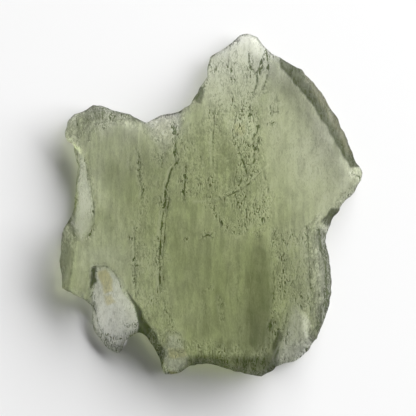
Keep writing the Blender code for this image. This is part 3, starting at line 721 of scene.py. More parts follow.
# %% Chance marks
PIT_SEED = 15
TOP_PITS = 95
UNDERSIDE_PITS = 80
PIT_RADIUS = (0.45, 1.15)
PIT_DEPTH = (0.04, 0.14)
PIT_FIELD = ((-16.0, 16.0), (-18.5, 18.5))
PIT_STRETCH = (0.9, 1.7)
LINE_WANDER = (0.07, 0.8, 20)
LUMP_LENGTH = 5.0
LUMP_HEIGHT = 0.20
FLOW_SIZE = (1.3, 14.0, 1.0)
FLOW_HEIGHT = 0.08
RIPPLES = (
    # width and length of each size of ripple, its height, and where its noise starts
    ((0.7, 12.0, 1.0), 0.035, 22),
    ((0.33, 6.0, 1.0), 0.018, 23),
)
GRAIN_SIZE = (0.45, 0.6, 1.0)
GRAIN_HEIGHT = 0.07
GRAIN_SEED = 24
GROOVE_DEPTH = 0.2
DARK_PIT_DEPTH = 0.15


def pits(x, y, count, seed):
    """The depth of the etch pits: shallow bowls with a clear edge."""
    place = random.Random(seed)
    depth = np.zeros(len(x))
    for _ in range(count):
        middle = (place.uniform(*PIT_FIELD[0]), place.uniform(*PIT_FIELD[1]))
        radius = place.uniform(*PIT_RADIUS)
        deepest = place.uniform(*PIT_DEPTH)
        stretch = place.uniform(*PIT_STRETCH)
        off = np.hypot(x - middle[0], (y - middle[1]) / stretch) / radius
        depth = np.maximum(depth, deepest * np.clip(1.0 - off**2, 0.0, None))
    return depth


print(TOP_PITS, "shallow pits above and", UNDERSIDE_PITS, "below")

# %% [markdown]
# ## The fall of the rim
# Near the edge both skins bend towards each other. Half of the fall is a straight bevel and half
# is a quarter round, which is how a worn break looks.

# %% Rim and chips as heights
STATION_SIZE = 0.05


def rim_at(x, y):
    """Width, upper fall and lower rise of the rim, blended between the stations."""
    total = np.zeros(len(x))
    blended = np.zeros((3, len(x)))
    for place, *values in RIM_STATIONS:
        weight = 1.0 / (np.hypot(x - place[0], y - place[1]) ** 4 + STATION_SIZE)
        total += weight
        blended += weight * np.array(values)[:, None]
    return blended / total


def rounded_fall(distance, width):
    """1 at the edge and 0 past the width: half a straight bevel and half a quarter round."""
    left = np.clip(1.0 - distance / width, 0.0, 1.0)
    quarter_round = 1.0 - np.sqrt(1.0 - left * left)
    return 0.5 * left + 0.5 * quarter_round


def chipped(points, height):
    """The upper skin with its chips broken out, along edges that wander like a break in glass."""
    x, y = points[:, 0], points[:, 1]
    edge_x, edge_y = wandered(x, y, points, *CHIP_WANDER)
    for outline, place, floor, slope, wall in CHIPS:
        level = floor + slope[0] * (x - place[0]) + slope[1] * (y - place[1])
        share = softly_inside(edge_x, edge_y, outline, wall)
        height = height + share * (np.minimum(level, height) - height)
    return height


at_bevel = rim_at(np.array((12.2,)), np.array((12.5,)))
print("width, fall and rise at the bevel:", at_bevel.T.round(2))

# %% [markdown]
# ## The two skins
# Now the forms add up to a height for each skin. The upper one has everything that the eye sees.
# The lower one is hidden, so it gets swells, flow lines and pits of the same kind, but none of the
# listed marks.

# %% Height of the upper skin
LUMPS_ABOVE = 1
FLOW_ABOVE = 2


def broad_height(flat, level, swells, seed):
    """A level plate with its broad swells and its middle-sized lumps."""
    x, y = flat[:, 0], flat[:, 1]
    height = np.full(len(x), level)
    for middle, reach, rise in swells:
        height += rise * swell(x, y, middle, reach)
    return height + LUMP_HEIGHT * waves(flat, LUMP_LENGTH, seed)


def top_height(points):
    """Height of the upper skin over each point of the outline."""
    x, y = points[:, 0], points[:, 1]
    flat = points * FLAT
    height = chipped(flat, broad_height(flat, TOP_HEIGHT, TOP_SWELLS, LUMPS_ABOVE))
    height += FLOW_HEIGHT * waves(flat, FLOW_SIZE, FLOW_ABOVE)
    height += marks_on_top(x, y, flat)
    width, fall, _ = rim_at(x, y)
    return height - fall * rounded_fall(distance_to(x, y, OUTLINE, closed=True), width)


def marks_on_top(x, y, flat):
    """The small changes of height: grooves, pits, ripples, crushed grain and seams."""
    change = np.zeros(len(x))
    line_x, line_y = wandered(x, y, flat, *LINE_WANDER)
    for path, width, depth, _ in LINES:
        change -= GROOVE_DEPTH * depth * ridge(distance_to(line_x, line_y, path), width)
    for place, radius, _ in DARK_PITS:
        change -= DARK_PIT_DEPTH * radius * swell(line_x, line_y, place, (radius, radius))
    for size, ripple, seed in RIPPLES:
        change += ripple * waves(flat, size, seed)
    change += zones_at(x, y, GRAINY) * GRAIN_HEIGHT * waves(flat, GRAIN_SIZE, GRAIN_SEED)
    for path, width, rise in SEAMS:
        change += rise * ridge(distance_to(x, y, path), width)
    return change - pits(x, y, TOP_PITS, PIT_SEED)


print("height at the middle:", top_height(np.zeros((1, 3))).round(2), "mm")


# %% Height of the lower skin
LOWER_RIM = 1.3
LUMPS_BELOW = 4
FLOW_BELOW = 5


def underside_height(points):
    """Height of the lower skin over each point of the outline."""
    x, y = points[:, 0], points[:, 1]
    flat = points * FLAT
    height = broad_height(flat, UNDERSIDE_HEIGHT, UNDERSIDE_SWELLS, LUMPS_BELOW)
    height += FLOW_HEIGHT * waves(flat, FLOW_SIZE, FLOW_BELOW)
    height += pits(x, y, UNDERSIDE_PITS, PIT_SEED + 1)
    width, _, rise = rim_at(x, y)
    return height + rise * rounded_fall(distance_to(x, y, OUTLINE, closed=True), LOWER_RIM * width)


print("underside at the middle:", underside_height(np.zeros((1, 3))).round(2), "mm")

# %% [markdown]
# ## A slab to shape
# The outline is drawn as a flat curve and given a thickness. The Remesh modifier then covers it
# with small even faces, so that every later move has enough points to work on. The upper side is
# split once more, because only that side is seen from near.

# %% Slab of small faces
SLAB_THICKNESS = 3.2
FACE_SIZE = 0.226
NEAR_THE_TOP = 0.05


def after_modifiers(piece):
    graph = bpy.context.evaluated_depsgraph_get()
    return bpy.data.meshes.new_from_object(piece.evaluated_get(graph))


def vertex_places(mesh):
    places = np.empty(len(mesh.vertices) * 3)
    mesh.vertices.foreach_get("co", places)
    return places.reshape(-1, 3)


def finer_above(mesh):
    """Splits the faces of the upper side in four."""
    work = bmesh.new()
    work.from_mesh(mesh)
    level = SLAB_THICKNESS / 2 - NEAR_THE_TOP
    upper = [edge for edge in work.edges if min(vertex.co.z for vertex in edge.verts) > level]
    bmesh.ops.subdivide_edges(work, edges=upper, cuts=1, use_grid_fill=True)
    work.to_mesh(mesh)
    work.free()


def outline_slab():
    """The outline as a flat slab, divided into small even faces all over."""
    curve = bpy.data.curves.new("outline", "CURVE")
    curve.dimensions = "2D"
    curve.fill_mode = "BOTH"
    curve.extrude = SLAB_THICKNESS / 2
    spline = curve.splines.new("POLY")
    spline.use_cyclic_u = True
    spline.points.add(len(OUTLINE) - 1)
    for point, place in zip(spline.points, OUTLINE):
        point.co = (*place, 0.0, 1.0)
    slab = bpy.data.objects.new("outline_slab", curve)
    bpy.context.scene.collection.objects.link(slab)
    remesh = slab.modifiers.new("even faces", "REMESH")
    remesh.mode = "VOXEL"
    remesh.voxel_size = FACE_SIZE
    mesh = after_modifiers(slab)
    bpy.data.objects.remove(slab)
    bpy.data.curves.remove(curve)
    return mesh


mesh = outline_slab()
finer_above(mesh)
flat_slab = vertex_places(mesh)
print("the slab has", len(flat_slab), "points")

# %% [markdown]
# ## From slab to stone
# Each point keeps its place in the outline and its share of the height, so the slab turns into
# the stone without a tear. Noise moves the points near the rim, in broad bends and in small
# nicks, and what would reach under the ground is worn flat there.

# %% Points moved to the two skins
WORN_BELOW = 0.05
RIM_REACH = 1.4
RIM_NOISE = (
    # length and depth of the bends and of the small nicks, and where their noise starts
    (1.5, 0.16, 7),
    (0.6, 0.09, 40),
)


def shaped(points):
    """Slab points moved to the stone's skins, each as high between them as it was in the slab."""
    x, y = points[:, 0], points[:, 1]
    share = np.clip(points[:, 2] / SLAB_THICKNESS + 0.5, 0.0, 1.0)
    low = underside_height(points)
    high = np.maximum(top_height(points), low + THINNEST)
    moved = np.column_stack((x, y, low + share * (high - low)))
    near_rim = 1.0 - soft_step(distance_to(x, y, OUTLINE, closed=True) / RIM_REACH)
    for axis in range(3):
        for length, depth, seed in RIM_NOISE:
            moved[:, axis] += depth * near_rim * waves(moved, length, seed + axis)
    moved[moved[:, 2] < WORN_BELOW, 2] = 0.0
    return moved


drawn = shaped(flat_slab)
drawn_size = drawn.max(axis=0) - drawn.min(axis=0)
print("the drawn stone is, in millimetres:", drawn_size.round(1))

# %% [markdown]
# ## The stone takes its place
# The drawn stone is centred on the frame and brought to the size of the CAD model. Then it rides
# on the frame's only body and stands for the CAD stone.

# %% The piece
middle = (drawn.min(axis=0) + drawn.max(axis=0)) / 2
middle[2] = 0.0
CAD_SIZE = np.array(CAD_BOX[1]) - np.array(CAD_BOX[0])
METRES = min(CAD_SIZE / drawn_size)
mesh.vertices.foreach_set("co", ((drawn - middle) * METRES).ravel())
mesh.update()
mesh.shade_smooth()
mesh.name = "moldavite_glass"
stone = bpy.data.objects.new("moldavite_glass", mesh)
bpy.context.scene.collection.objects.link(stone)
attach(stone, "root")
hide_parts("moldavite")
mesh.calc_loop_triangles()
print(len(mesh.loop_triangles), "triangles, and", round(METRES * 1000, 4), "mm for each drawn one")

# %% [markdown]
# ## Masks
# The material has to know where the grooves, the frost and the other zones are. An image would
# need a flat layout of the stone, so each mask is kept as one number on each point of the mesh
# instead. All masks belong to the upper side and the flanks, and fade out on the lower skin.

# %% Places that the masks are read at
ABOVE_FADE = 0.3
ZONE_WANDER = (0.25, 0.9, 30)
x, y = flat_slab[:, 0], flat_slab[:, 1]
flat = flat_slab * FLAT
above = soft_step((flat_slab[:, 2] / SLAB_THICKNESS + 0.5) / ABOVE_FADE)
line_x, line_y = wandered(x, y, flat, *LINE_WANDER)
zone_x, zone_y = wandered(x, y, flat, *ZONE_WANDER)
edge_away = distance_to(x, y, OUTLINE, closed=True)


def keep(name, values):
    """Keeps a mask on the mesh under a name that the material can read."""
    attribute = mesh.attributes.new(name, "FLOAT", "POINT")
    attribute.data.foreach_set("value", (values * above).astype(np.float32))
    print(name, "is on", int((values * above > 0.5).sum()), "points")


keep("above", np.ones(len(x)))

# %% [markdown]
# ## Lines with painted shade and painted highlights
# A groove in rough glass has a dark wall and a pale one, since the light comes from one side. So
# each line gets a mask of painted shade and, a quarter of a millimetre away, one of painted
# highlight. Neither is even: the strength and the width change along the line, as etching does.
# Such a change has a middle, a reach, the length and the start of its noise, a least and a most.

# %% Painted shade on lines and painted highlights beside them
BESIDE = (0.26, -0.08)
HIGHLIGHT_WIDTH = 0.16
HIGHLIGHT_STRENGTH = 1.2
SEAM_HIGHLIGHT_SHARE = 0.8
LINE_WIDTH = 0.8
WIDEST_LINE = 0.14
UNEVEN = (1.05, 1.1, (0.45, 0.8, 1.0), 36, 0.2, 1.8)
WIDER = (1.0, 0.6, (0.7, 0.9, 1.0), 37, 0.6, 1.5)
ETCHED_ANYWHERE = 0.12
ETCH_NEAR_LINES = 0.4
ETCH_BY_LINES = 1.2
PIT_LOOK = 0.8
ETCH_ROUND_PITS = 2


def changing(middle, reach, length, seed, least, most):
    """A strength that comes and goes over the skin."""
    return np.clip(middle + reach * waves(flat, length, seed), least, most)


uneven = changing(*UNEVEN)
wider = changing(*WIDER)
groove_and_pit_shade = np.zeros(len(x))
painted_highlights = np.zeros(len(x))
etched = np.maximum(zones_at(zone_x, zone_y, ETCHED), ETCHED_ANYWHERE)
# Seams get a painted highlight along them.
for path, width, _ in SEAMS:
    painted_highlights = np.maximum(painted_highlights, ridge(distance_to(line_x, line_y, path), width * SEAM_HIGHLIGHT_SHARE))
# Each groove gets painted shade on it and a painted highlight beside it.
for path, width, _, dark in LINES:
    away = distance_to(line_x, line_y, path)
    beside = distance_to(line_x + BESIDE[0], line_y + BESIDE[1], path)
    reach = LINE_WIDTH * min(width, WIDEST_LINE) * wider
    groove_and_pit_shade = np.maximum(groove_and_pit_shade, dark * uneven * ridge(away, reach))
    painted_highlights = np.maximum(painted_highlights, HIGHLIGHT_STRENGTH * dark * uneven * ridge(beside, HIGHLIGHT_WIDTH))
    etched = np.maximum(etched, ETCH_BY_LINES * dark * ridge(away, ETCH_NEAR_LINES))
# Each pit gets painted shade.
for place, radius, dark in DARK_PITS:
    groove_and_pit_shade = np.maximum(groove_and_pit_shade, dark * swell(line_x, line_y, place, (radius * PIT_LOOK,) * 2))
    etched = np.maximum(etched, swell(line_x, line_y, place, (radius * ETCH_ROUND_PITS,) * 2))
print("darkest line", groove_and_pit_shade.max().round(2), "and palest side", painted_highlights.max().round(2))

# %% [markdown]
# ## The rim seen from above
# Right at the edge the glass turns away and looks dark, so the edge gets painted shade, with a
# thin painted highlight inside it. Both come and go along the edge.

# %% Rim masks of painted shade and painted highlight
EDGE_WIDTH = 0.22
RIM_HIGHLIGHT_PLACE = 0.5
RIM_HIGHLIGHT_WIDTH = 0.17
RIM_HIGHLIGHT_STRENGTH = 0.7
EDGE_CHANGE = (0.7, 0.9, 0.7, 33, 0.1, 1.0)
RIM_HIGHLIGHT_CHANGE = (0.3, 1.6, 1.1, 38, 0.0, 1.0)
ETCHED_RIM = 0.6
ETCHED_RIM_WIDTH = 0.9
# Painted shade at the very edge of the rim.
edge = changing(*EDGE_CHANGE) * ridge(edge_away, EDGE_WIDTH)
rim_highlight = ridge(edge_away - RIM_HIGHLIGHT_PLACE, RIM_HIGHLIGHT_WIDTH)
rim_highlight *= RIM_HIGHLIGHT_STRENGTH * changing(*RIM_HIGHLIGHT_CHANGE)
painted_highlights = np.maximum(painted_highlights, rim_highlight)
etched = np.maximum(etched, ETCHED_RIM * ridge(edge_away, ETCHED_RIM_WIDTH))
keep("edge", edge)

# %% All masks kept on the mesh
still_light = 1.0 - zones_at(zone_x, zone_y, DEEP_AND_SHADED_ZONES)
keep("groove_and_pit_shade", groove_and_pit_shade)
keep("painted_highlights", painted_highlights)
keep("etched", etched)
keep("frost", zones_at(zone_x, zone_y, FROSTED))
# The deep mask holds deeper green glass and the painted shade on steep sides.
keep("deep", 1.0 - still_light**2)
keep("tan", zones_at(zone_x, zone_y, TAN))
keep("grainy", zones_at(zone_x, zone_y, GRAINY))

# %% [markdown]
# ## The glass
# Moldavite is clear glass with a rough, etched skin. Its green isn't paint: light loses red, blue
# and a little green on its way through, so thick places are darker. Volume Absorption does just
# that, and its density says how much is lost in each metre. The skin itself lets all light in and
# scatters it, which is Transmission with a high roughness. A Glass shader would do the same, but
# only the Principled one keeps its numbers when the stone is exported.

# %% Glass that absorbs light
LOST_PER_METRE = (84.0, 72.0, 166.0)
DENSITY = 280.0
REFRACTION = 1.49
HIGHLIGHT = (0.15, 0.19, 0.04, 1.0)
glass = bpy.data.materials.new("green_glass")
glass.use_nodes = True
tree = glass.node_tree
shader = tree.nodes["Principled BSDF"]
shader.inputs["Metallic"].default_value = 0.0
shader.inputs["Transmission Weight"].default_value = 1.0
shader.inputs["IOR"].default_value = REFRACTION
shader.inputs["Specular Tint"].default_value = HIGHLIGHT
absorb = tree.nodes.new("ShaderNodeVolumeAbsorption")
absorb.inputs["Color"].default_value = (*(1.0 - lost / DENSITY for lost in LOST_PER_METRE), 1.0)
absorb.inputs["Density"].default_value = DENSITY
tree.links.new(absorb.outputs["Volume"], tree.nodes["Material Output"].inputs["Volume"])
mesh.materials.append(glass)
print("light left after 4 mm:", np.exp(-0.004 * np.array(LOST_PER_METRE)).round(2))

# %% [markdown]
# ## Short names for nodes
# A colour like this one needs far more than a hundred nodes. Each helper adds one kind of node, so
# that the recipe below reads like a sum and not like wiring. The first one fills the inputs of a
# node: it links what comes from another node and sets what is a plain number or colour.


# %% Node helpers
def filled(node, values):
    for name, value in values.items():
        if isinstance(value, bpy.types.NodeSocket):
            tree.links.new(value, node.inputs[name])
        else:
            node.inputs[name].default_value = value
    return node


def mask(name):
    reader = tree.nodes.new("ShaderNodeAttribute")
    reader.attribute_name = name
    return reader.outputs["Fac"]


def mixed(share, first, second):
    mix = tree.nodes.new("ShaderNodeMix")
    mix.data_type = "RGBA"
    return filled(mix, {"Factor": share, 6: first, 7: second}).outputs[2]


def worked(operation, *values):
    maths = tree.nodes.new("ShaderNodeMath")
    maths.operation = operation
    return filled(maths, dict(enumerate(values))).outputs[0]


def vector_worked(operation, values):
    maths = tree.nodes.new("ShaderNodeVectorMath")
    maths.operation = operation
    return filled(maths, values)


def times(first, second):
    return worked("MULTIPLY", first, second)


def ranged(value, low, high, to_low, to_high):
    ends = {"From Min": low, "From Max": high, "To Min": to_low, "To Max": to_high}
    change = tree.nodes.new("ShaderNodeMapRange")
    return filled(change, {"Value": value, **ends}).outputs["Result"]


print("ready to mix", glass.name)

# %% [markdown]
# ## Patterns
# Noise on Object coordinates runs through the stone as the real flow lines do. The scale is in
# waves for each metre, and a smaller scale along Y stretches the pattern along the stone. A
# pattern that is read twice, a little shifted, gives a dark mark of painted shade and a painted
# highlight beside it.

# %% Noise patterns
UNMOVED = (0.0, 0.0, 0.0)
FLECK_SCALE = (3400.0, 1300.0, 1200.0)
TWIN_STEP = (0.5, 0.12, 0.0)


def stretched(scale, shift=UNMOVED):
    place = tree.nodes.new("ShaderNodeTexCoord").outputs["Object"]
    mapping = tree.nodes.new("ShaderNodeMapping")
    return filled(mapping, {"Vector": place, "Scale": scale, "Location": shift}).outputs["Vector"]


def noise_at(place, scale, detail, distortion):
    values = {"Vector": place, "Scale": scale, "Detail": detail, "Distortion": distortion}
    return filled(tree.nodes.new("ShaderNodeTexNoise"), values)


def noise_of(scale, detail, distortion=0.0, shift=UNMOVED):
    return noise_at(stretched(scale, shift), 1.0, detail, distortion).outputs["Fac"]


streaks = noise_of((1900.0, 260.0, 200.0), 5.0, 0.9)
clouds = noise_of((700.0, 420.0, 400.0), 4.0, 0.6)
speckle = noise_of((3600.0, 2600.0, 2600.0), 3.0)
patches = noise_of((420.0, 260.0, 300.0), 2.0, 0.5)
folds = noise_of((900.0, 480.0, 600.0), 3.0, 0.7)
ripples = noise_of((4600.0, 1700.0, 1500.0), 3.0, 2.2)
flecks = noise_of(FLECK_SCALE, 5.0, 1.6)
highlight_fleck_noise = noise_of(FLECK_SCALE, 5.0, 1.6, TWIN_STEP)
print(len(tree.nodes), "nodes so far")

# %% [markdown]
# ## Contour lines
# Etching often follows the layers of the glass, like contour lines on a map. Folding a noise back
# and forth with Ping-Pong gives such lines wherever it passes a level.

# %% Contours
CONTOURS = 9.0
CONTOUR_WIDTH = 0.17
TWIN_SHIFT = 0.25


def contour(value, shift):
    folded = worked("PINGPONG", worked("MULTIPLY_ADD", value, CONTOURS, shift), 0.5)
    return ranged(folded, 0.0, CONTOUR_WIDTH, 1.0, 0.0)


# The contours are painted shade, and their shifted twins are painted highlights.
dark_contours = contour(folds, 0.0)
highlight_contours = contour(folds, TWIN_SHIFT)
print(CONTOURS, "contours for each step of the noise")

# %% [markdown]
# ## Crushed places
# In the notch and along the right flank the glass is crushed into small faces. Voronoi cells give
# each face its own tone and a dark line between them. Noise bends the cells, because their
# straight edges would look like a honeycomb.

# %% Small broken faces
FACET_SCALE = (2100.0, 1500.0, 1500.0)
FACET_BEND = (1.6, 1.6, 1.6)
BEND_SCALE = 1.3
BEND_DETAIL = 3.0


def cells_at(place, feature):
    cells = tree.nodes.new("ShaderNodeTexVoronoi")
    cells.feature = feature
    return filled(cells, {"Vector": place, "Scale": 1.0})


straight = stretched(FACET_SCALE)
bend = noise_at(straight, BEND_SCALE, BEND_DETAIL, 0.0).outputs["Color"]
bent = vector_worked("MULTIPLY_ADD", {0: bend, 1: FACET_BEND, 2: straight}).outputs[0]
facet_colour = cells_at(bent, "F1").outputs["Color"]
facet_tone = filled(tree.nodes.new("ShaderNodeSeparateColor"), {0: facet_colour}).outputs[0]
facet_edge = cells_at(bent, "DISTANCE_TO_EDGE").outputs["Distance"]
print("faces of about", [round(1000 / scale, 2) for scale in FACET_SCALE[:2]], "mm")

# %% [markdown]
# ## Dark and pale marks
# Two shares decide where the skin is dark and where it is pale. Flecks and contours come in
# clusters inside the etched zones, and the listed lines are added to them. Each row of four
# numbers says between which values a pattern counts, and what it gives at the one and the other.

# %% Shares of the marks
# The dark share is painted shade in grooves, pits, flecks and contours, plus dark edges between
# crushed faces. The pale share is painted highlight.
CLUSTERS = (0.36, 0.62, 2.2, 0.5)
DARK_FLECKS = (0.55, 0.60, 0.0, 1.0)
HIGHLIGHT_FLECKS = (0.53, 0.58, 0.0, 1.0)
DARK_CONTOURS = 0.6
HIGHLIGHT_CONTOURS = 0.9
BROKEN_LINES = (0.35, 0.6, 0.75, 1.7)
FACET_LINES = (0.0, 0.17, 1.0, 0.0)
FACET_PATCHES = (0.4, 0.6, 0.35, 1.0)
etch_share = times(mask("etched"), ranged(patches, *CLUSTERS))
dark_marks = worked("MAXIMUM", ranged(flecks, *DARK_FLECKS), times(dark_contours, DARK_CONTOURS))
line_share = times(mask("groove_and_pit_shade"), ranged(speckle, *BROKEN_LINES))
facet_line = times(ranged(facet_edge, *FACET_LINES), mask("grainy"))
facet_share = times(facet_line, ranged(patches, *FACET_PATCHES))
dark_share = worked("MAXIMUM", times(etch_share, dark_marks), line_share)
dark_share = worked("MINIMUM", worked("MAXIMUM", dark_share, facet_share), 1.0)
highlight_flecks = ranged(highlight_fleck_noise, *HIGHLIGHT_FLECKS)
highlight_marks = worked("MAXIMUM", highlight_flecks, times(highlight_contours, HIGHLIGHT_CONTOURS))
highlight_share = worked("MAXIMUM", times(etch_share, highlight_marks), mask("painted_highlights"))
highlight_share = worked("MINIMUM", highlight_share, 1.0)
print(len(tree.nodes), "nodes so far")

# %% [markdown]
# ## Tint of the skin
# The tint starts as that of plain or frosted skin. Greener patches, painted highlights, deeper
# green with painted shade, crushed grain, tan stains and the dark marks, mostly painted shade, go
# over it in turn, as coats of paint would.

# %% Tint
PLAIN = (0.70, 0.71, 0.64, 1.0)
FROST = (0.98, 0.98, 0.96, 1.0)
GREENER = (0.45, 0.51, 0.33, 1.0)
# White of the painted highlights.
PAINTED_HIGHLIGHT = (1.0, 1.0, 0.98, 1.0)
# Deep green of thick glass, also used for painted shade on steep sides.
DEEP_GREEN_AND_SHADE = (0.009, 0.013, 0.002, 1.0)
STAIN = (0.68, 0.60, 0.31, 1.0)
# Dark of the painted shade, also used for the edges between crushed faces.
DARK = (0.022, 0.030, 0.012, 1.0)
GREEN_PATCHES = (0.35, 0.65, 0.0, 1.0)
GREEN_BY_FROST = (0.0, 1.0, 0.5, 0.1)
DEEP_AND_SHADE_CHANGE = (0.16, 0.30, 0.96, 1.0)
CRUSHED_STREAKS = (0.50, 0.60, 0.0, 0.9)
CRUSHED_SHARE = 0.35
tint = mixed(mask("frost"), PLAIN, FROST)
green_share = times(ranged(patches, *GREEN_PATCHES), ranged(mask("frost"), *GREEN_BY_FROST))
tint = mixed(green_share, tint, GREENER)
tint = mixed(highlight_share, tint, PAINTED_HIGHLIGHT)
# Deeper green, with painted shade on the steep sides.
deep_and_shade_share = times(mask("deep"), ranged(times(clouds, speckle), *DEEP_AND_SHADE_CHANGE))
tint = mixed(deep_and_shade_share, tint, DEEP_GREEN_AND_SHADE)
# Crushed grain is whitened by streaks and by painted highlights.
crushed_marks = worked("MAXIMUM", highlight_marks, ranged(streaks, *CRUSHED_STREAKS))
tint = mixed(times(times(crushed_marks, mask("grainy")), CRUSHED_SHARE), tint, FROST)
tint = mixed(mask("tan"), tint, STAIN)
# Painted shade in grooves, pits and flecks, and the dark edges between crushed faces.
tint = mixed(dark_share, tint, DARK)
print("seven tints mixed")

# %% [markdown]
# ## Tone
# Streaks, ripples and clouds make the tint lighter and darker by up to a quarter, and by more
# where the skin is etched or crushed. The rim gets painted shade at the very edge, and painted
# highlights lift the tone where they lie.

# %% Tone
RIPPLE_REACH = (0.0, 1.0, 0.15, 0.55)
RIPPLE_TONE = (0.36, 0.62, -1.0, 1.0)
STREAK_REACH = (0.0, 1.0, 0.21, 0.08)
STREAK_TONE = (0.40, 0.60, -1.1, 0.9)
CLOUD_TONE = (0.40, 0.60, 0.79, 1.16)
FACET_TONE = (0.0, 1.0, 0.35, 1.35)
GRAIN_TONE = (0.36, 0.6, 0.5, 1.25)
GRAIN_MOST = 0.9
GRAIN_EVERYWHERE = 0.1
EDGE_TONE = (0.0, 1.0, 1.0, 0.2)
ripple_reach = ranged(mask("etched"), *RIPPLE_REACH)
ripple_tone = worked("MULTIPLY_ADD", ranged(ripples, *RIPPLE_TONE), ripple_reach, 1.0)
streak_reach = ranged(mask("frost"), *STREAK_REACH)
streak_tone = worked("MULTIPLY_ADD", ranged(streaks, *STREAK_TONE), streak_reach, 1.0)
grain_tone = times(ranged(speckle, *GRAIN_TONE), ranged(facet_tone, *FACET_TONE))
grain_share = worked("ADD", times(mask("grainy"), GRAIN_MOST), GRAIN_EVERYWHERE)
grain_change = times(worked("SUBTRACT", grain_tone, 1.0), grain_share)
tone = times(times(streak_tone, ripple_tone), ranged(clouds, *CLOUD_TONE))
tone = times(tone, worked("ADD", grain_change, 1.0))
# Painted shade at the very edge.
tone = times(tone, ranged(mask("edge"), *EDGE_TONE))
# Painted highlights lift the tone.
tone = worked("MAXIMUM", tone, highlight_share)
tone = worked("ADD", times(worked("SUBTRACT", tone, 1.0), mask("above")), 1.0)
print("the tone has", len(tree.links), "links behind it")

# %% [markdown]
# ## Colour of the skin
# Tint times tone is the base colour, and it may not pass 1. The lower skin stays clear, because a
# tint there would darken the stone a second time.

# %% Base colour
WHITE = (1.0, 1.0, 1.0, 1.0)
tint = mixed(mask("above"), WHITE, tint)
toned = vector_worked("SCALE", {0: tint, "Scale": tone}).outputs[0]
colour = vector_worked("MINIMUM", {0: toned, 1: WHITE[:3]}).outputs[0]
filled(shader, {"Base Color": colour})
print("base colour is joined:", shader.inputs["Base Color"].is_linked)

# %% [markdown]
# ## Roughness and fine relief
# Etched glass scatters light, frosted glass more so. The finest streaks and the edges of the
# marks are too small for the mesh, so a Bump node stands in for them.

# %% Roughness and bump
SATIN = 0.42
FROST_ROUGHER = 0.2
DEEP_ROUGHER = 0.38
MARK_RELIEF = 0.6
BUMP_HEIGHT = 0.00004
BUMP_STRENGTH = 0.6
rough = worked("MULTIPLY_ADD", mask("frost"), FROST_ROUGHER, SATIN)
rough = worked("MULTIPLY_ADD", mask("deep"), DEEP_ROUGHER, rough)
relief = worked("ADD", streaks, times(speckle, grain_share))
relief = worked("SUBTRACT", relief, times(dark_share, MARK_RELIEF))
bump = tree.nodes.new("ShaderNodeBump")
filled(bump, {"Distance": BUMP_HEIGHT, "Strength": BUMP_STRENGTH, "Height": relief})
filled(shader, {"Roughness": rough, "Normal": bump.outputs["Normal"]})
print(len(tree.nodes), "nodes in the glass")

# %% [markdown]
# ## The table
# The floor is plain white paper without a shine. It lies a hair below the stone's worn flats, so
# that the two surfaces never fight for the same place.

# %% Floor
FLOOR_SIZE = 2.0
FLOOR_LEVEL = -0.00004
PAPER_WHITE = (0.9, 0.9, 0.9, 1.0)
bpy.ops.mesh.primitive_plane_add(size=FLOOR_SIZE, location=(0, 0, FLOOR_LEVEL))
floor = bpy.context.object
floor.name = "table_top"
paper = bpy.data.materials.new("paper")
paper.use_nodes = True
no_shine = {"Base Color": PAPER_WHITE, "Roughness": 0.9, "Specular IOR Level": 0.0}
filled(paper.node_tree.nodes["Principled BSDF"], no_shine)
floor.data.materials.append(paper)
print(floor.name, "is", FLOOR_SIZE, "m wide")

# %% [markdown]
# ## A faint light under the stone
# A photographer often lays clear stones on a light pad, so that they glow instead of going dark.
# This one is a sheet cut a little smaller than the stone's outline, so the floor beside it keeps
# its full shadow. It is a little brighter below the thin parts, which lie in the stone's shadow.

# %% Sheet of light
PAD_SHARE = 0.965
PAD_LEVEL = -0.00002
pad_mesh = bpy.data.meshes.new("light_pad")
pad_work = bmesh.new()
corners = (np.array(OUTLINE[::-1]) - middle[:2]) * METRES * PAD_SHARE
pad_work.faces.new([pad_work.verts.new((*corner, PAD_LEVEL)) for corner in corners])
pad_work.to_mesh(pad_mesh)
pad_work.free()
pad = bpy.data.objects.new("light_pad", pad_mesh)
bpy.context.scene.collection.objects.link(pad)
print("the pad covers", round(pad_mesh.polygons[0].area * 1e6), "square millimetres")

# %% Glow of the sheet
PAD_GLOW = 0.155
BRIGHTER_BELOW = (
    ((-10.9, -11.5), 3.2, 0.20),  # the lobe
    ((-14.4, 1.5), 2.6, 0.15),  # the left ledge
    ((-5.2, 8.6), 3.0, 0.13),  # the notch
    ((2.5, 15.0), 6.0, 0.07),  # the peak
    ((11.0, 3.5), 6.0, 0.03),  # the smooth face
    ((-12.0, -5.5), 4.0, 0.03),  # the lower left
    ((3.2, 8.2), 1.6, 0.18),  # the tan spot
    ((9.0, -10.0), 5.0, 0.02),  # beside the right flank
)
FULL_WITHIN = 0.4
GONE_BEYOND = 1.3
glowing = paper.copy()
glowing.name = "glowing_paper"
tree = glowing.node_tree
pad_place = tree.nodes.new("ShaderNodeTexCoord").outputs["Object"]
glow = worked("ADD", PAD_GLOW, 0.0)
for place, reach, extra in BRIGHTER_BELOW:
    spot = (*((np.array(place) - middle[:2]) * METRES), PAD_LEVEL)
    away = vector_worked("DISTANCE", {0: pad_place, 1: spot}).outputs["Value"]
    near, far = FULL_WITHIN * reach * METRES, GONE_BEYOND * reach * METRES
    glow = worked("ADD", glow, ranged(away, near, far, extra, 0.0))
filled(tree.nodes["Principled BSDF"], {"Emission Color": WHITE, "Emission Strength": glow})
pad_mesh.materials.append(glowing)
print("brightest place of the pad:", PAD_GLOW + max(extra for _, _, extra in BRIGHTER_BELOW))

# %% [markdown]
# ## Light
# One wide soft lamp stands low at the upper right, which lays a long soft shadow to the lower
# left. The room itself is nearly dark and only fills the shadow a little, more from above.

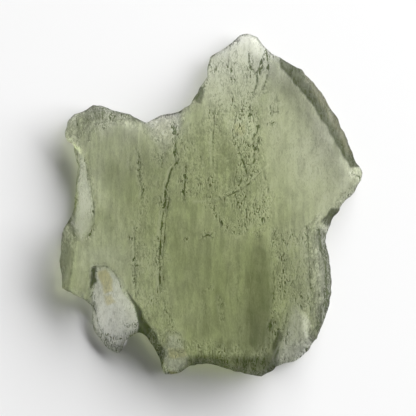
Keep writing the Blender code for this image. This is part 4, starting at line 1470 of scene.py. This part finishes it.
# %% Room light
AT_THE_HORIZON = 0.04
OVERHEAD = 0.085
world = bpy.data.worlds.new("studio")
bpy.context.scene.world = world
world.use_nodes = True
tree = world.node_tree
direction = tree.nodes.new("ShaderNodeTexCoord").outputs["Generated"]
upward = filled(tree.nodes.new("ShaderNodeSeparateXYZ"), {0: direction}).outputs["Z"]
strength = ranged(upward, 0.0, 1.0, AT_THE_HORIZON, OVERHEAD)
filled(tree.nodes["Background"], {"Color": WHITE, "Strength": strength})
print("the room is lit by", world.name)

# %% Wide soft lamp
LAMP_PLACE = (0.745, 0.582, 0.326)
LAMP_SIZE = (1.9, 0.75)
LAMP_POWER = 48.5
lamp = bpy.data.lights.new("key", "AREA")
lamp.shape = "RECTANGLE"
lamp.size, lamp.size_y = LAMP_SIZE
lamp.energy = LAMP_POWER
lamp_stand = bpy.data.objects.new("key", lamp)
lamp_stand.location = LAMP_PLACE
lamp_stand.rotation_euler = (-lamp_stand.location).to_track_quat("-Z", "Y").to_euler()
lamp_stand.visible_glossy = False
bpy.context.scene.collection.objects.link(lamp_stand)
print("the lamp stands", round(lamp_stand.location.length, 2), "m away")

# %% [markdown]
# ## Camera
# The stone is seen from straight above, through a long lens from far away, so that its sides
# don't show. The distance follows from the width of the picture at the stone.

# %% Camera
VIEW_WIDTH = 45.9
VIEW_MIDDLE = (-0.342, -0.381, 2.0)
LONG_LENS = 200.0
SENSOR = 36.0
camera = bpy.data.cameras.new("camera")
camera.lens = LONG_LENS
camera.sensor_width = SENSOR
camera.clip_start = 0.01
eye = bpy.data.objects.new("camera", camera)
look_at = (np.array(VIEW_MIDDLE) - middle) * METRES
distance = VIEW_WIDTH * METRES * LONG_LENS / SENSOR
eye.location = (look_at[0], look_at[1], look_at[2] + distance)
bpy.context.scene.collection.objects.link(eye)
bpy.context.scene.camera = eye
print("the camera is", round(distance, 3), "m above the stone")

# %% [markdown]
# ## Colour and light paths
# Rough glass needs many bounces, or it turns black inside. Light that has passed the glass before
# it reaches the paper is called a caustic, and here it gives half of the glow, so it stays on.

# %% Colour and bounces
VIEW_GAMMA = 1.2
GLASS_BOUNCES = 16
PAPER_BOUNCES = 6
scene = bpy.context.scene
scene.view_settings.view_transform = "Standard"
scene.view_settings.gamma = VIEW_GAMMA
scene.cycles.max_bounces = GLASS_BOUNCES
scene.cycles.transmission_bounces = GLASS_BOUNCES
scene.cycles.diffuse_bounces = PAPER_BOUNCES
scene.cycles.caustics_refractive = True
scene.cycles.caustics_reflective = True
print("light may bounce", GLASS_BOUNCES, "times")
